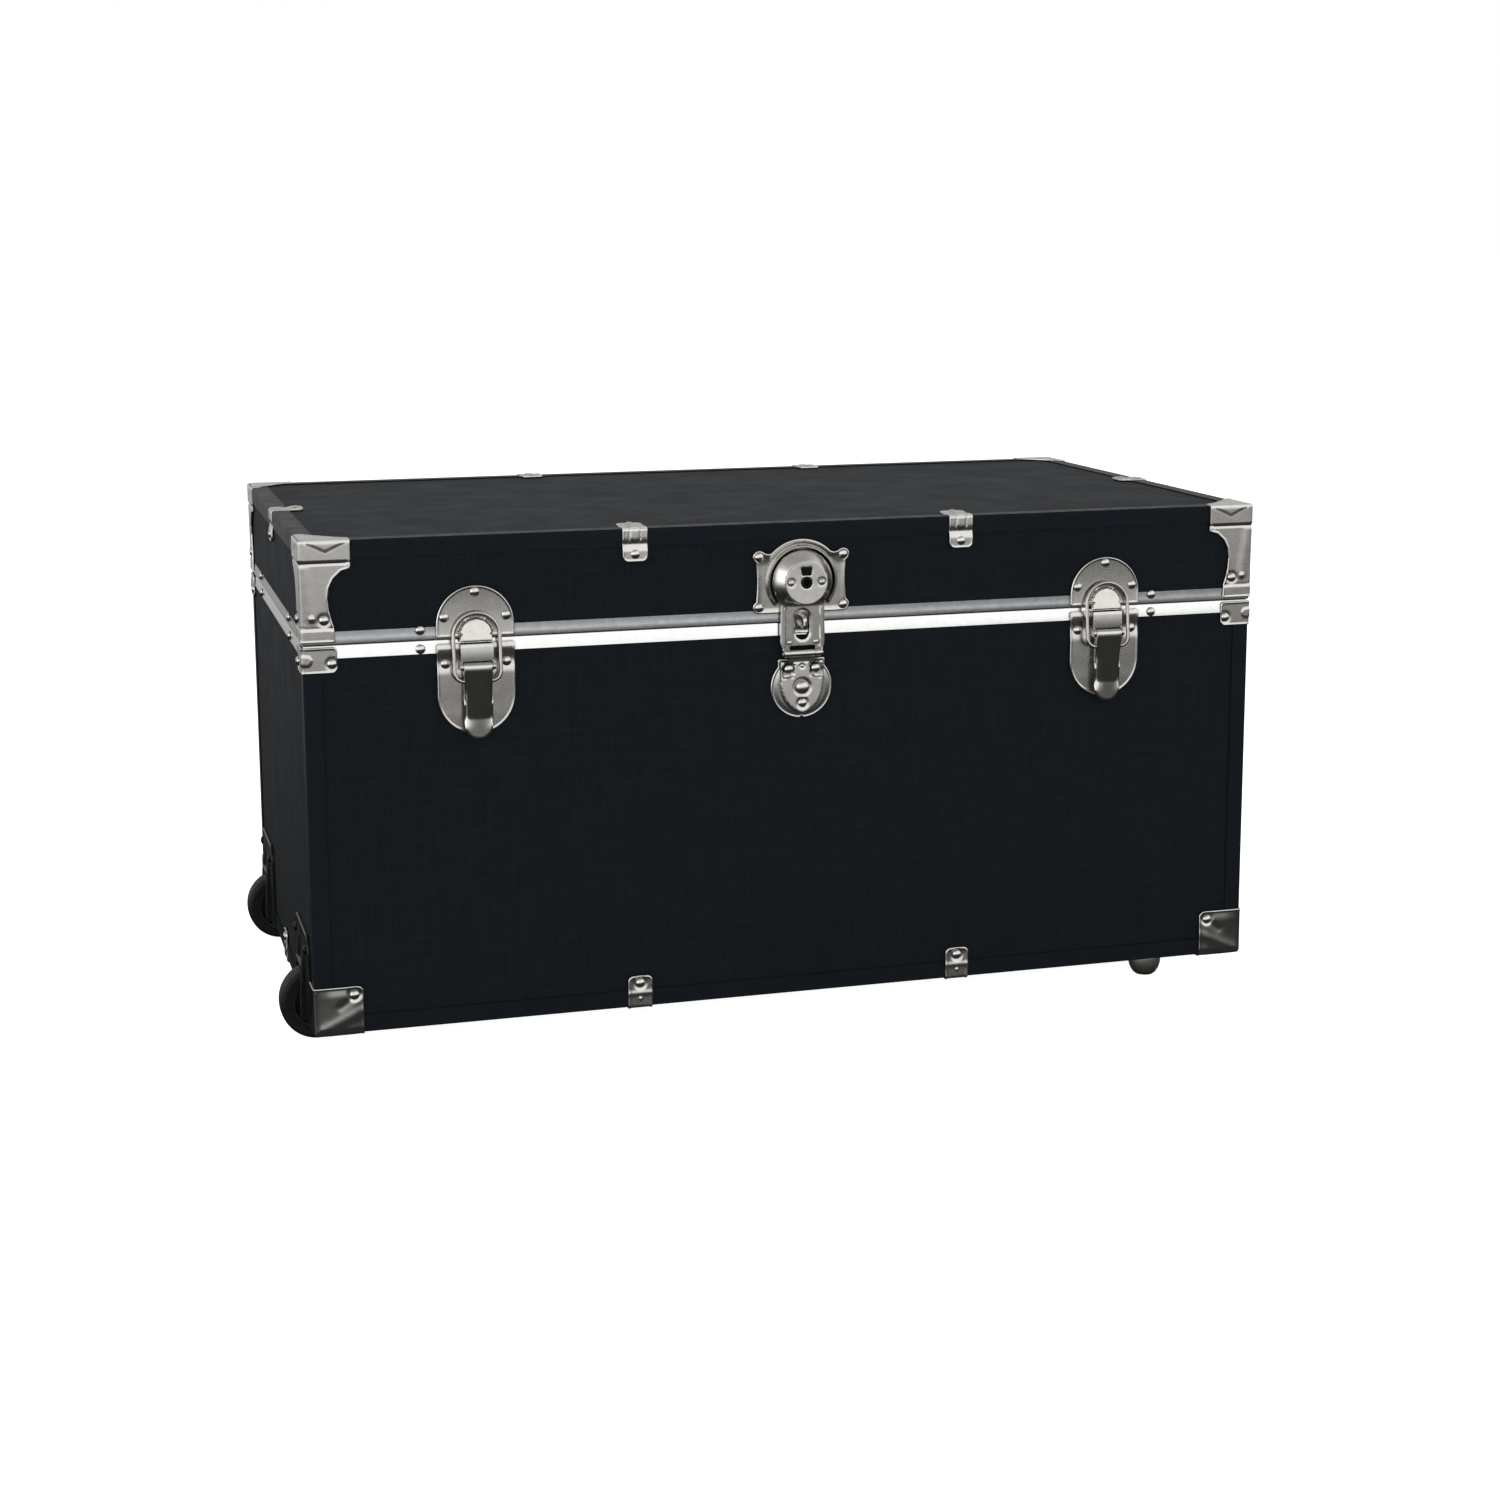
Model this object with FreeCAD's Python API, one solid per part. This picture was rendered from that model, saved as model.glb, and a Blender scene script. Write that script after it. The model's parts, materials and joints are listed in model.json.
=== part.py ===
"""Wheeled footlocker: a panelled storage trunk with a hinged lid, draw latches, a hasp lock and two wheels.

Millimetres, +Z up, -Y is the front. The origin is the centre of the footprint, on the floor.
Heights named h run from the underside of the case. On the front, w is how far a face stands out of
the case plane.
"""
import FreeCAD, Part
import math
import os

V = FreeCAD.Vector

# Case
CASE_W = 787.0
CASE_D = 432.0
CASE_H = 386.0
GROUND = 21.5           # floor to the underside of the case
SEAM_H = 306.0          # underside of the case to the top of the body rim
SEAM_GAP = 0.5          # between body rim and lid rim
FRONT_PROUD = 17.0      # lock face in front of the case
REAR_PROUD = 6.0        # hinge barrels behind the case
PANEL_T = 6.0

LEFT = -CASE_W / 2
RIGHT = CASE_W / 2
FRONT = FRONT_PROUD - (CASE_D + FRONT_PROUD + REAR_PROUD) / 2
BACK = FRONT + CASE_D
MID_Y = (FRONT + BACK) / 2
BOTTOM = GROUND
TOP = GROUND + CASE_H

# Edge bindings: a folded strip whose outside is the case plane
BIND_LEG = 14.0
BIND_T = 1.0
BIND_R = 1.5
INSIDE = BIND_T + PANEL_T       # case plane to the inner face of a panel

# Rim strips: U channels on the facing edges of body and lid, with a tongue and a groove
RIM_T = 0.8
RIM_INSET = 0.2                 # rim face below the case plane
RIM_H = 10.0
RIM_INNER = INSIDE + RIM_T
TONGUE_INSET = 4.0
TONGUE_H = 3.0
GROOVE_INSET = 3.6
GROOVE_W = 2.0
GROOVE_H = 3.2

# Pressed sheet-metal trim
METAL_T = 0.8
METAL_R = 1.5
CORNER = 38.0                   # leg of the lid and bottom corners
CAP_H = 16.0                    # upper band of a lid corner
CAP_T = 1.6
LID_CORNER_FOOT = 308.5         # lower end of a lid corner
CLAMP_W = 26.0
CLAMP_H = (285.0, 305.0)
CLAMP_R = 4.0
CLIP_W = 20.0
CLIP_LEG = 26.0
CLIP_X = 135.0                  # clips either side of the centre, front and back
CLIP_RIVET = 20.0               # rivet to the case edge

# Rivets
RIVET_R = 3.75
RIVET_DOME = 2.2
SHANK_R = 1.5
CLINCH_R = 2.6
CLINCH_T = 0.6
HOLE_EASE = 0.05

# Draw latches
LATCH_X = 261.7
PLATE_T = 1.2                   # hardware plates, from the rim face outwards
PLATE_W = PLATE_T - RIM_INSET
LATCH_R = 30.25
LATCH_LID_H = (307.8, 347.5)
LATCH_BODY_H = (231.75, 303.0)
CATCH_R = 13.0
CATCH_H = (304.2, 322.6)
CATCH_W = 6.5
LEVER_W = 22.4
LEVER_TIP_H = 228.4
LEVER_PIVOT = (285.5, 9.5)      # h, w
LEVER_BARREL = 3.0
LEVER_WALL = 1.2
LEVER_FLANGE = (11.6, 243.0)       # w, h where the flanges run out
LEVER_BOW = (14.4, 266.0)          # w, h of the bowed front
LEVER_LIP = (15.0, 16.2)           # w of the flared tip, behind and in front
EAR_GAP = 0.3
EAR_T = 1.2
BRIDGE_H = (289.5, 303.2)
BRIDGE_W = 8.0
PIN_R = 1.5
PIN_EASE = 0.05
WIRE_R = 1.5
BAIL_PIVOT = (274.5, 9.5)
BAIL_TOP = (326.5, 4.1)
BAIL_HALF = 18.0
BAIL_BEND = 7.0

# Hasp lock
LOCK_H = 339.5                  # centre of the dome
STRIKE_R = 33.5
STRIKE_EAR = (34.8, 359.4, 319.2)
STRIKE_EAR_R = 5.2
STRIKE_WAIST = 37.0                # half width between the ears
STRIKE_HOLLOW_R = 40.0
STRIKE_TAB = (14.0, 297.0)
RING_R = (26.5, 30.5)
RING_W = 5.0
RING_LOW_W = 3.1                # the ring is lower towards its open end
RING_SLOPE_H = (312.0, 352.0)
DOME_R = 26.0
DOME_BACK = 1.3
DOME_W = 14.2
FACE_R = 17.3
FACE_W = 16.2
STRAP_HALF = 18.75
STRAP_W = (3.5, 5.0)
HASP_PIVOT = (281.5, 4.0)
HASP_KNUCKLE = 3.0
HASP_MIDDLE = 21.0                 # length of the plate's knuckle, between the hasp's two
HASP_SLOT = (5.9, 292.6, 314.8)
STUD_R = 2.3
STUD_X = 12.7
WINDOW = (4.7, 3.9, 345.6, 351.6)  # half widths at the top and bottom, lower and upper h
PLUG_R = 4.5
PLUG_IN = 11.9
CAM_T = 1.0
BOLT_HALF = 4.0
BOLT_W = (2.2, 3.7)
BOLT_H = (349.0, 363.6)
BOLT_EASE = 0.4
CAM_REACH = 12.6
LOWER_R = 25.5
LOWER_H = 254.0
LOWER_HALF = 19.5
LOWER_TOP = 277.0
SHIELD = (18.0, 275.6, 259.0, 231.5)   # half width, h of its top, shoulders and point
SHIELD_W = 3.2
BOSS = (6.2, 4.8)                  # radius and height
STAPLE_H = (302.0, 311.0)
STAPLE_W = 11.0
STAPLE_BEND = 3.0

# Rear hinges
HINGE_X = LATCH_X
HINGE_H = SEAM_H + SEAM_GAP / 2
HINGE_OUT = 3.0                 # pin axis behind the case plane
HINGE_W = 60.0
HINGE_LEAF = 35.0
HINGE_BARREL = 3.0
KNUCKLES = 5

# Wheels, at the left end
WHEEL_R = 30.0
WHEEL_W = 24.0
WHEEL_IN = 9.0                  # axle inside the left case plane
WHEEL_X = LEFT + WHEEL_IN
WHEEL_Y = (FRONT + 69.0, BACK - 69.0)
TYRE_R = 22.0
TREAD_CROWN = 0.5                  # shoulders lower than the middle of the tread
AXLE_R = 4.0
AXLE_EASE = 0.05
AXLE_HEAD = 2.0
WELL_EASE = 3.5
WELL_SIDE = 3.0
WELL_T = 2.5
FLANGE_HALF = 45.0
FLANGE_H = 72.0
FLANGE_IN = 62.0
FLANGE_PROUD = 2.0
FLANGE_R = 14.0
HOOD_OUT = 5.0                     # hood over the wheel, outside the left case plane
CHEEK_OUT = 6.5
CHEEK_T = 5.0
CHEEK_TOP = 68.0

# Glides, at the right end
GLIDE_R = 17.0
GLIDE_FLAT = 7.0
GLIDE_X = RIGHT - 74.0
GLIDE_Y = (FRONT + 30.0, BACK - 30.0)

# Pull handle, on the right end
HANDLE_H = 214.0
HANDLE_OUT = 12.0
HANDLE_HALF = 62.0
HANDLE_DROP = 52.0
ROD_R = 3.5
GRIP_HALF = 46.0
GRIP_OUT = 9.0
GRIP_TALL = 12.0
LUG_R = 7.5


def up(h):
    """Height above the floor of a height above the underside of the case."""
    return GROUND + h


def block(x0, x1, y0, y1, z0, z1):
    return Part.makeBox(x1 - x0, y1 - y0, z1 - z0, V(x0, y0, z0))


def case_box(inset, z0, z1):
    """The case's plan, taken in by inset, between two levels."""
    return block(LEFT + inset, RIGHT - inset, FRONT + inset, BACK - inset, z0, z1)


def case_ring(outer, inner, z0, z1):
    return case_box(outer, z0, z1).cut(case_box(inner, z0, z1))


def fuse(shapes):
    return shapes[0].multiFuse(shapes[1:]).removeSplitter()


def group(shapes):
    return Part.makeCompound(shapes)


def mirror_x(shape):
    return shape.mirror(V(0, 0, 0), V(1, 0, 0))


def mirror_y(shape):
    return shape.mirror(V(0, MID_Y, 0), V(0, 1, 0))


def face_of(place, steps):
    """Face with an outline of (a, b) points; a pair of points is an arc's middle and its end."""
    start = place(*steps[0])
    here = start
    edges = []
    for step in steps[1:]:
        if isinstance(step[0], tuple):
            end = place(*step[1])
            edges.append(Part.Arc(here, place(*step[0]), end).toShape())
        else:
            end = place(*step)
            edges.append(Part.LineSegment(here, end).toShape())
        here = end
    if here.distanceToPoint(start) > 1e-6:
        edges.append(Part.LineSegment(here, start).toShape())
    return Part.Face(Part.Wire(edges))


def front_prism(steps, w0, w1, x=0.0):
    """An (x, h) outline on the front of the case, made solid from w0 out to w1."""
    face = face_of(lambda a, h: V(x + a, FRONT - w0, up(h)), steps)
    return face.extrude(V(0, w0 - w1, 0))


def side_prism(steps, x0, x1):
    """A (w, h) outline of front hardware, made solid from x0 to x1."""
    face = face_of(lambda w, h: V(x0, FRONT - w, up(h)), steps)
    return face.extrude(V(x1 - x0, 0, 0))


def front_box(x0, x1, h0, h1, w0, w1):
    return block(x0, x1, FRONT - w1, FRONT - w0, up(h0), up(h1))


def front_turned(x, h, steps):
    """An (r, w) profile turned about an axis square to the front."""
    face = face_of(lambda r, w: V(x + r, FRONT - w, up(h)), steps)
    return face.revolve(V(x, FRONT, up(h)), V(0, 1, 0), 360)


def rod(start, end, radius):
    run = end - start
    return Part.makeCylinder(radius, run.Length, start, run)


def bent_rod(points, bends, radius):
    """A round wire through points, with the bend radius of each inner point."""
    edges = []
    here = points[0]
    for before, corner, after, bend in zip(points, points[1:], points[2:], bends):
        back = (before - corner).normalize()
        ahead = (after - corner).normalize()
        half = back.getAngle(ahead) / 2
        reach = bend / math.tan(half)
        middle = (back + ahead).normalize() * (bend / math.sin(half) - bend)
        edges.append(Part.LineSegment(here, corner + back * reach).toShape())
        edges.append(Part.Arc(corner + back * reach, corner + middle, corner + ahead * reach).toShape())
        here = corner + ahead * reach
    edges.append(Part.LineSegment(here, points[-1]).toShape())
    ring = Part.Wire(Part.Circle(points[0], points[1] - points[0], radius).toShape())
    return Part.Wire(edges).makePipeShell([ring], True, False)


def angle_strip(corner, u, v, along, leg, thickness, radius):
    """A folded strip: its outer edge runs through corner, and its legs lie along u and v."""
    bow = radius * (1 - math.sqrt(0.5))
    steps = [(leg, 0), (radius, 0), ((bow, bow), (0, radius)), (0, leg)]
    steps += [(thickness, leg), (thickness, thickness), (leg, thickness)]
    return face_of(lambda a, b: corner + u * a + v * b, steps).extrude(along)


def dome_steps(radius, base, height):
    """Profile of a ball-shaped dome: its rim, then the arc up to the point on its axis."""
    ball = (radius ** 2 + height ** 2) / (2 * height)
    half = math.acos((ball - height) / ball) / 2
    middle = (ball * math.sin(half), base + height - ball + ball * math.cos(half))
    return [(radius, base), (middle, (0, base + height))]


# ---------------------------------------------------------------- rivets

def rivet(base, normal, length):
    """A dome-headed rivet on a plate face, clinched length below it."""
    end = -length - CLINCH_T
    steps = [(0, end), (CLINCH_R, end), (CLINCH_R, -length), (SHANK_R, -length), (SHANK_R, 0)]
    steps += dome_steps(RIVET_R, 0, RIVET_DOME)
    solid = face_of(lambda r, z: V(r, 0, z), steps).revolve(V(0, 0, 0), V(0, 0, 1), 360)
    solid.Placement = FreeCAD.Placement(base, FreeCAD.Rotation(V(0, 0, 1), normal))
    return solid


def shank_hole(base, normal, length):
    start = base + normal * 0.01
    return rod(start, base - normal * (length + 0.01), SHANK_R + HOLE_EASE)


def on_front(x, h, proud, depth=INSIDE):
    return V(x, FRONT - proud, up(h)), V(0, -1, 0), proud + depth


def on_back(x, h, proud, depth=INSIDE):
    return V(x, BACK + proud, up(h)), V(0, 1, 0), proud + depth


def on_left(y, h, proud, depth=INSIDE):
    return V(LEFT - proud, y, up(h)), V(-1, 0, 0), proud + depth


def on_right(y, h, proud, depth=INSIDE):
    return V(RIGHT + proud, y, up(h)), V(1, 0, 0), proud + depth


def on_top(x, y, proud, depth=INSIDE):
    return V(x, y, TOP + proud), V(0, 0, 1), proud + depth


def on_bottom(x, y, proud, depth=INSIDE):
    return V(x, y, BOTTOM - proud), V(0, 0, -1), proud + depth


def rim_rivets(h):
    """Rivets along one rim strip, through both of its legs."""
    spots = []
    for x in (-304.0, 304.0):
        spots.append(on_front(x, h, -RIM_INSET, RIM_INNER))
    for x in (-335.0, -110.0, 110.0, 335.0):
        spots.append(on_back(x, h, -RIM_INSET, RIM_INNER))
    for y in (MID_Y - 120.0, MID_Y + 120.0):
        spots.append(on_left(y, h, -RIM_INSET, RIM_INNER))
        spots.append(on_right(y, h, -RIM_INSET, RIM_INNER))
    return spots


def lid_trim_rivets():
    spots = rim_rivets(SEAM_H + SEAM_GAP + RIM_H - SHANK_R - 0.7)
    foot_x = 17.0
    foot_h = 325.5
    for x in (LEFT + foot_x, RIGHT - foot_x):
        spots += [on_front(x, foot_h, METAL_T), on_back(x, foot_h, METAL_T)]
    for y in (FRONT + foot_x, BACK - foot_x):
        spots += [on_left(y, foot_h, METAL_T), on_right(y, foot_h, METAL_T)]
    for x in (-CLIP_X, CLIP_X):
        spots += [on_front(x, CASE_H - CLIP_RIVET, METAL_T), on_back(x, CASE_H - CLIP_RIVET, METAL_T)]
        spots += [on_top(x, FRONT + CLIP_RIVET, METAL_T), on_top(x, BACK - CLIP_RIVET, METAL_T)]
    spots += [on_left(MID_Y, CASE_H - CLIP_RIVET, METAL_T), on_right(MID_Y, CASE_H - CLIP_RIVET, METAL_T)]
    spots += [on_top(LEFT + CLIP_RIVET, MID_Y, METAL_T), on_top(RIGHT - CLIP_RIVET, MID_Y, METAL_T)]
    return spots


def body_trim_rivets():
    spots = rim_rivets(SEAM_H - RIM_H + 3.7)
    clamp_in = 22.0
    clamp_h = sum(CLAMP_H) / 2 - 3.0
    corner_in = 31.0
    for x in (LEFT + clamp_in, RIGHT - clamp_in):
        spots += [on_front(x, clamp_h, METAL_T), on_back(x, clamp_h, METAL_T)]
    for y in (FRONT + clamp_in, BACK - clamp_in):
        spots += [on_left(y, clamp_h, METAL_T), on_right(y, clamp_h, METAL_T)]
    for x in (LEFT + corner_in, RIGHT - corner_in):
        spots += [on_front(x, corner_in, METAL_T), on_back(x, corner_in, METAL_T)]
    for y in (FRONT + corner_in, BACK - corner_in):
        spots += [on_right(y, corner_in, METAL_T), on_bottom(RIGHT - corner_in, y, METAL_T)]
    for x in (-CLIP_X, CLIP_X):
        spots += [on_front(x, CLIP_RIVET, METAL_T), on_back(x, CLIP_RIVET, METAL_T)]
        spots += [on_bottom(x, FRONT + CLIP_RIVET, METAL_T), on_bottom(x, BACK - CLIP_RIVET, METAL_T)]
    spots += [on_left(MID_Y, CLIP_RIVET, METAL_T), on_right(MID_Y, CLIP_RIVET, METAL_T)]
    spots += [on_bottom(LEFT + CLIP_RIVET, MID_Y, METAL_T), on_bottom(RIGHT - CLIP_RIVET, MID_Y, METAL_T)]
    return spots


HINGE_RIVETS = ((-22.0, 14.0), (22.0, 14.0), (0.0, 27.0))


def lid_hardware_rivets():
    spots = []
    for side in (-LATCH_X, LATCH_X):
        for dx, h in ((0.0, 342.5), (-24.0, 323.4), (24.0, 323.4)):
            spots.append(on_front(side + dx, h, PLATE_W))
    ear_x, ear_top, ear_low = STRIKE_EAR
    for x in (-ear_x, ear_x):
        for h in (ear_top, ear_low):
            spots.append(on_front(x, h, PLATE_W))
    for side in (-HINGE_X, HINGE_X):
        for dx, dh in HINGE_RIVETS:
            spots.append(on_back(side + dx, HINGE_H + dh, PLATE_W))
    return spots


def body_hardware_rivets():
    spots = []
    for side in (-LATCH_X, LATCH_X):
        for dx in (-23.7, 23.7):
            spots.append(on_front(side + dx, 287.5, PLATE_W))
    for x, h in ((-11.2, 268.8), (11.2, 268.8), (0.0, 241.0)):
        spots.append(on_front(x, h, SHIELD_W))
    for side in (-HINGE_X, HINGE_X):
        for dx, dh in HINGE_RIVETS:
            spots.append(on_back(side + dx, HINGE_H - dh, PLATE_W))
    for y in (MID_Y - HANDLE_HALF, MID_Y + HANDLE_HALF):
        for dh in (-15.0, 15.0):
            spots.append(on_right(y, HANDLE_H + dh, PLATE_W))
    for y in WHEEL_Y:
        for dy in (-35.0, 35.0):
            spots.append(on_left(y + dy, FLANGE_H - 12.0, FLANGE_PROUD))
            spots.append(on_bottom(LEFT + FLANGE_IN - 9.0, y + dy, FLANGE_PROUD))
    return spots


# ---------------------------------------------------------------- case

def well_profile(radius):
    """Round wheel recess between the left face and the underside, seen along Y."""
    return Part.makeCylinder(radius, CASE_D, V(WHEEL_X, FRONT, WHEEL_R), V(0, 1, 0))


def well_space(y, radius, half):
    lane = block(LEFT - 1, RIGHT, y - half, y + half, BOTTOM - 1, TOP)
    return well_profile(radius).common(lane)


def body_panels():
    low = BOTTOM + BIND_T
    rim_seat = up(SEAM_H) - RIM_T
    front = block(LEFT + BIND_T, RIGHT - BIND_T, FRONT + BIND_T, FRONT + INSIDE, low, rim_seat)
    back = block(LEFT + BIND_T, RIGHT - BIND_T, BACK - INSIDE, BACK - BIND_T, low, rim_seat)
    left = block(LEFT + BIND_T, LEFT + INSIDE, FRONT + INSIDE, BACK - INSIDE, low, rim_seat)
    right = block(RIGHT - INSIDE, RIGHT - BIND_T, FRONT + INSIDE, BACK - INSIDE, low, rim_seat)
    bottom = block(LEFT + INSIDE, RIGHT - INSIDE, FRONT + INSIDE, BACK - INSIDE, low, BOTTOM + INSIDE)
    lane = WHEEL_W / 2 + WELL_SIDE + WELL_T + AXLE_HEAD
    wells = [well_space(y, WHEEL_R + WELL_EASE + WELL_T, lane) for y in WHEEL_Y]
    return {
        "body_front_panel": front,
        "body_back_panel": back,
        "body_left_panel": left.cut(wells),
        "body_right_panel": right,
        "body_bottom_panel": bottom.cut(wells),
    }


def lid_panels():
    low = up(SEAM_H + SEAM_GAP + GROOVE_H + RIM_T)
    high = TOP - INSIDE
    front = block(LEFT + BIND_T, RIGHT - BIND_T, FRONT + BIND_T, FRONT + INSIDE, low, high)
    back = block(LEFT + BIND_T, RIGHT - BIND_T, BACK - INSIDE, BACK - BIND_T, low, high)
    left = block(LEFT + BIND_T, LEFT + INSIDE, FRONT + INSIDE, BACK - INSIDE, low, high)
    right = block(RIGHT - INSIDE, RIGHT - BIND_T, FRONT + INSIDE, BACK - INSIDE, low, high)
    return {
        "lid_top_panel": case_box(BIND_T, high, TOP - BIND_T),
        "lid_front_rail": front,
        "lid_back_rail": back,
        "lid_left_rail": left,
        "lid_right_rail": right,
    }


def edge_binding(level, rise, low, high):
    """Four upright strips from low to high, and four round the case at level; rise is +1 up or -1 down."""
    strips = []
    inward = V(0, 0, rise)
    for x, toward_x in ((LEFT, V(1, 0, 0)), (RIGHT, V(-1, 0, 0))):
        for y, toward_y in ((FRONT, V(0, 1, 0)), (BACK, V(0, -1, 0))):
            upright = V(0, 0, high - low)
            strips.append(angle_strip(V(x, y, low), toward_x, toward_y, upright, BIND_LEG, BIND_T, BIND_R))
        run = V(0, CASE_D - 2 * BIND_LEG, 0)
        start = V(x, FRONT + BIND_LEG, level)
        strips.append(angle_strip(start, toward_x, inward, run, BIND_LEG, BIND_T, BIND_R))
    for y, toward_y in ((FRONT, V(0, 1, 0)), (BACK, V(0, -1, 0))):
        start = V(LEFT, y, level)
        strips.append(angle_strip(start, toward_y, inward, V(CASE_W, 0, 0), BIND_LEG, BIND_T, BIND_R))
    return strips


def body_rim():
    top = up(SEAM_H)
    outer = case_ring(RIM_INSET, RIM_INSET + RIM_T, top - RIM_H, top)
    web = case_ring(RIM_INSET, RIM_INNER, top - RIM_T, top)
    inner = case_ring(INSIDE, RIM_INNER, top - RIM_H + 1, top)
    tongue = case_ring(TONGUE_INSET, TONGUE_INSET + RIM_T, top - RIM_T, top + TONGUE_H)
    return fuse([outer, web, inner, tongue])


def lid_rim():
    low = up(SEAM_H + SEAM_GAP)
    groove_end = GROOVE_INSET + GROOVE_W
    ceiling = low + GROOVE_H
    outer = case_ring(RIM_INSET, RIM_INSET + RIM_T, low, low + RIM_H)
    inner = case_ring(INSIDE, RIM_INNER, low, low + RIM_H - 1)
    channel = case_ring(GROOVE_INSET - RIM_T, groove_end + RIM_T, low, ceiling + RIM_T)
    channel = channel.cut(case_ring(GROOVE_INSET, groove_end, low - 1, ceiling))
    outer_flange = case_ring(RIM_INSET, GROOVE_INSET, low, low + RIM_T)
    inner_flange = case_ring(groove_end, RIM_INNER, low, low + RIM_T)
    return fuse([outer, inner, channel, outer_flange, inner_flange])


# ---------------------------------------------------------------- trim

def four_corners(front_left):
    left = [front_left, mirror_y(front_left)]
    return left + [mirror_x(shape) for shape in left]


def corner_shell(leg, low, high, proud, round_top):
    """Pressed shell over the front left edge of the case, closed at its top or its bottom."""
    z0 = low if round_top else low - proud
    z1 = high + proud if round_top else high
    outer = block(LEFT - proud, LEFT + leg, FRONT - proud, FRONT + leg, z0, z1)
    level = z1 if round_top else z0
    folds = []
    for edge in outer.Edges:
        middle = edge.CenterOfMass
        at_x = abs(middle.x - (LEFT - proud)) < 1e-6
        at_y = abs(middle.y - (FRONT - proud)) < 1e-6
        at_level = abs(middle.z - level) < 1e-6
        if at_x + at_y + at_level == 2:
            folds.append(edge)
    inner = block(LEFT, LEFT + leg + 1, FRONT, FRONT + leg + 1, BOTTOM, TOP)
    return outer.makeFillet(METAL_R, folds).cut(inner)


def lid_corner():
    foot = 25.0
    waist = 20.3
    out = CAP_T + 1
    steps = [(-out, LID_CORNER_FOOT), (foot, LID_CORNER_FOOT), (foot - 0.5, 324.0)]
    steps += [((waist, 342.0), (CORNER, 364.5)), (CORNER, CASE_H + out), (-out, CASE_H + out)]
    front_cut = face_of(lambda a, h: V(LEFT + a, FRONT - out, up(h)), steps).extrude(V(0, 60, 0))
    side_cut = face_of(lambda a, h: V(LEFT - out, FRONT + a, up(h)), steps).extrude(V(60, 0, 0))
    top_steps = [(-out, -out), (CORNER, -out), (CORNER, BIND_LEG), ((21.0, 21.0), (BIND_LEG, CORNER))]
    top_steps += [(-out, CORNER)]
    top_cut = face_of(lambda a, b: V(LEFT + a, FRONT + b, up(LID_CORNER_FOOT)), top_steps)
    top_cut = top_cut.extrude(V(0, 0, CASE_H))
    shell = corner_shell(CORNER, up(LID_CORNER_FOOT), TOP, METAL_T, True)
    cap = corner_shell(CORNER, TOP - CAP_H, TOP, CAP_T, True)
    walls = shell.fuse(cap)
    return walls.common(front_cut).common(side_cut).common(top_cut)


def body_clamp():
    low, high = CLAMP_H
    out = METAL_T + 1
    turn = CLAMP_R * (1 - math.sqrt(0.5))
    tip = CLAMP_W - CLAMP_R
    steps = [(-out, low), (tip, low), ((CLAMP_W - turn, low + turn), (CLAMP_W, low + CLAMP_R))]
    steps += [(CLAMP_W, high - CLAMP_R), ((CLAMP_W - turn, high - turn), (tip, high)), (-out, high)]
    front_cut = face_of(lambda a, h: V(LEFT + a, FRONT - out, up(h)), steps).extrude(V(0, 60, 0))
    side_cut = face_of(lambda a, h: V(LEFT - out, FRONT + a, up(h)), steps).extrude(V(60, 0, 0))
    outer = block(LEFT - METAL_T, LEFT + CLAMP_W, FRONT - METAL_T, FRONT + CLAMP_W, up(low), up(high))
    fold = [e for e in outer.Edges if e.CenterOfMass.distanceToPoint(
        V(LEFT - METAL_T, FRONT - METAL_T, up((low + high) / 2))) < 1e-6]
    outer = outer.makeFillet(METAL_R, fold).cut(block(LEFT, RIGHT, FRONT, BACK, BOTTOM, TOP))
    return outer.common(front_cut).common(side_cut)


def bottom_corner(right_end):
    shell = corner_shell(CORNER, BOTTOM, BOTTOM + CORNER, METAL_T, False)
    free = [e for e in shell.Edges if abs(e.Length - METAL_T) < 1e-6]
    shell = shell.makeFillet(CLAMP_R, free)
    if right_end:
        return shell
    return shell.cut(flange_space())


def flange_space():
    """Where the wheel housings' flanges lie on the left face and the underside."""
    lanes = []
    for y in WHEEL_Y:
        lanes.append(block(LEFT - 9, LEFT + FLANGE_IN, y - FLANGE_HALF, y + FLANGE_HALF, 0, up(FLANGE_H)))
    return group(lanes)


def edge_clip(corner, u, v, along):
    """A strap folded over a case edge; corner is on the case edge, at the middle of the strap."""
    start = corner - (u + v) * METAL_T - along * (CLIP_W / 2)
    strap = angle_strip(start, u, v, along * CLIP_W, CLIP_LEG + METAL_T, METAL_T, METAL_R)
    free = [e for e in strap.Edges if abs(e.Length - METAL_T) < 1e-6]
    return strap.makeFillet(CLAMP_R, free)


def edge_clips(level, rise):
    inward = V(0, 0, rise)
    clips = []
    for x in (-CLIP_X, CLIP_X):
        clips.append(edge_clip(V(x, FRONT, level), V(0, 1, 0), inward, V(1, 0, 0)))
        clips.append(edge_clip(V(x, BACK, level), V(0, -1, 0), inward, V(1, 0, 0)))
    clips.append(edge_clip(V(LEFT, MID_Y, level), V(1, 0, 0), inward, V(0, 1, 0)))
    clips.append(edge_clip(V(RIGHT, MID_Y, level), V(-1, 0, 0), inward, V(0, 1, 0)))
    return clips


# ---------------------------------------------------------------- draw latches

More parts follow.
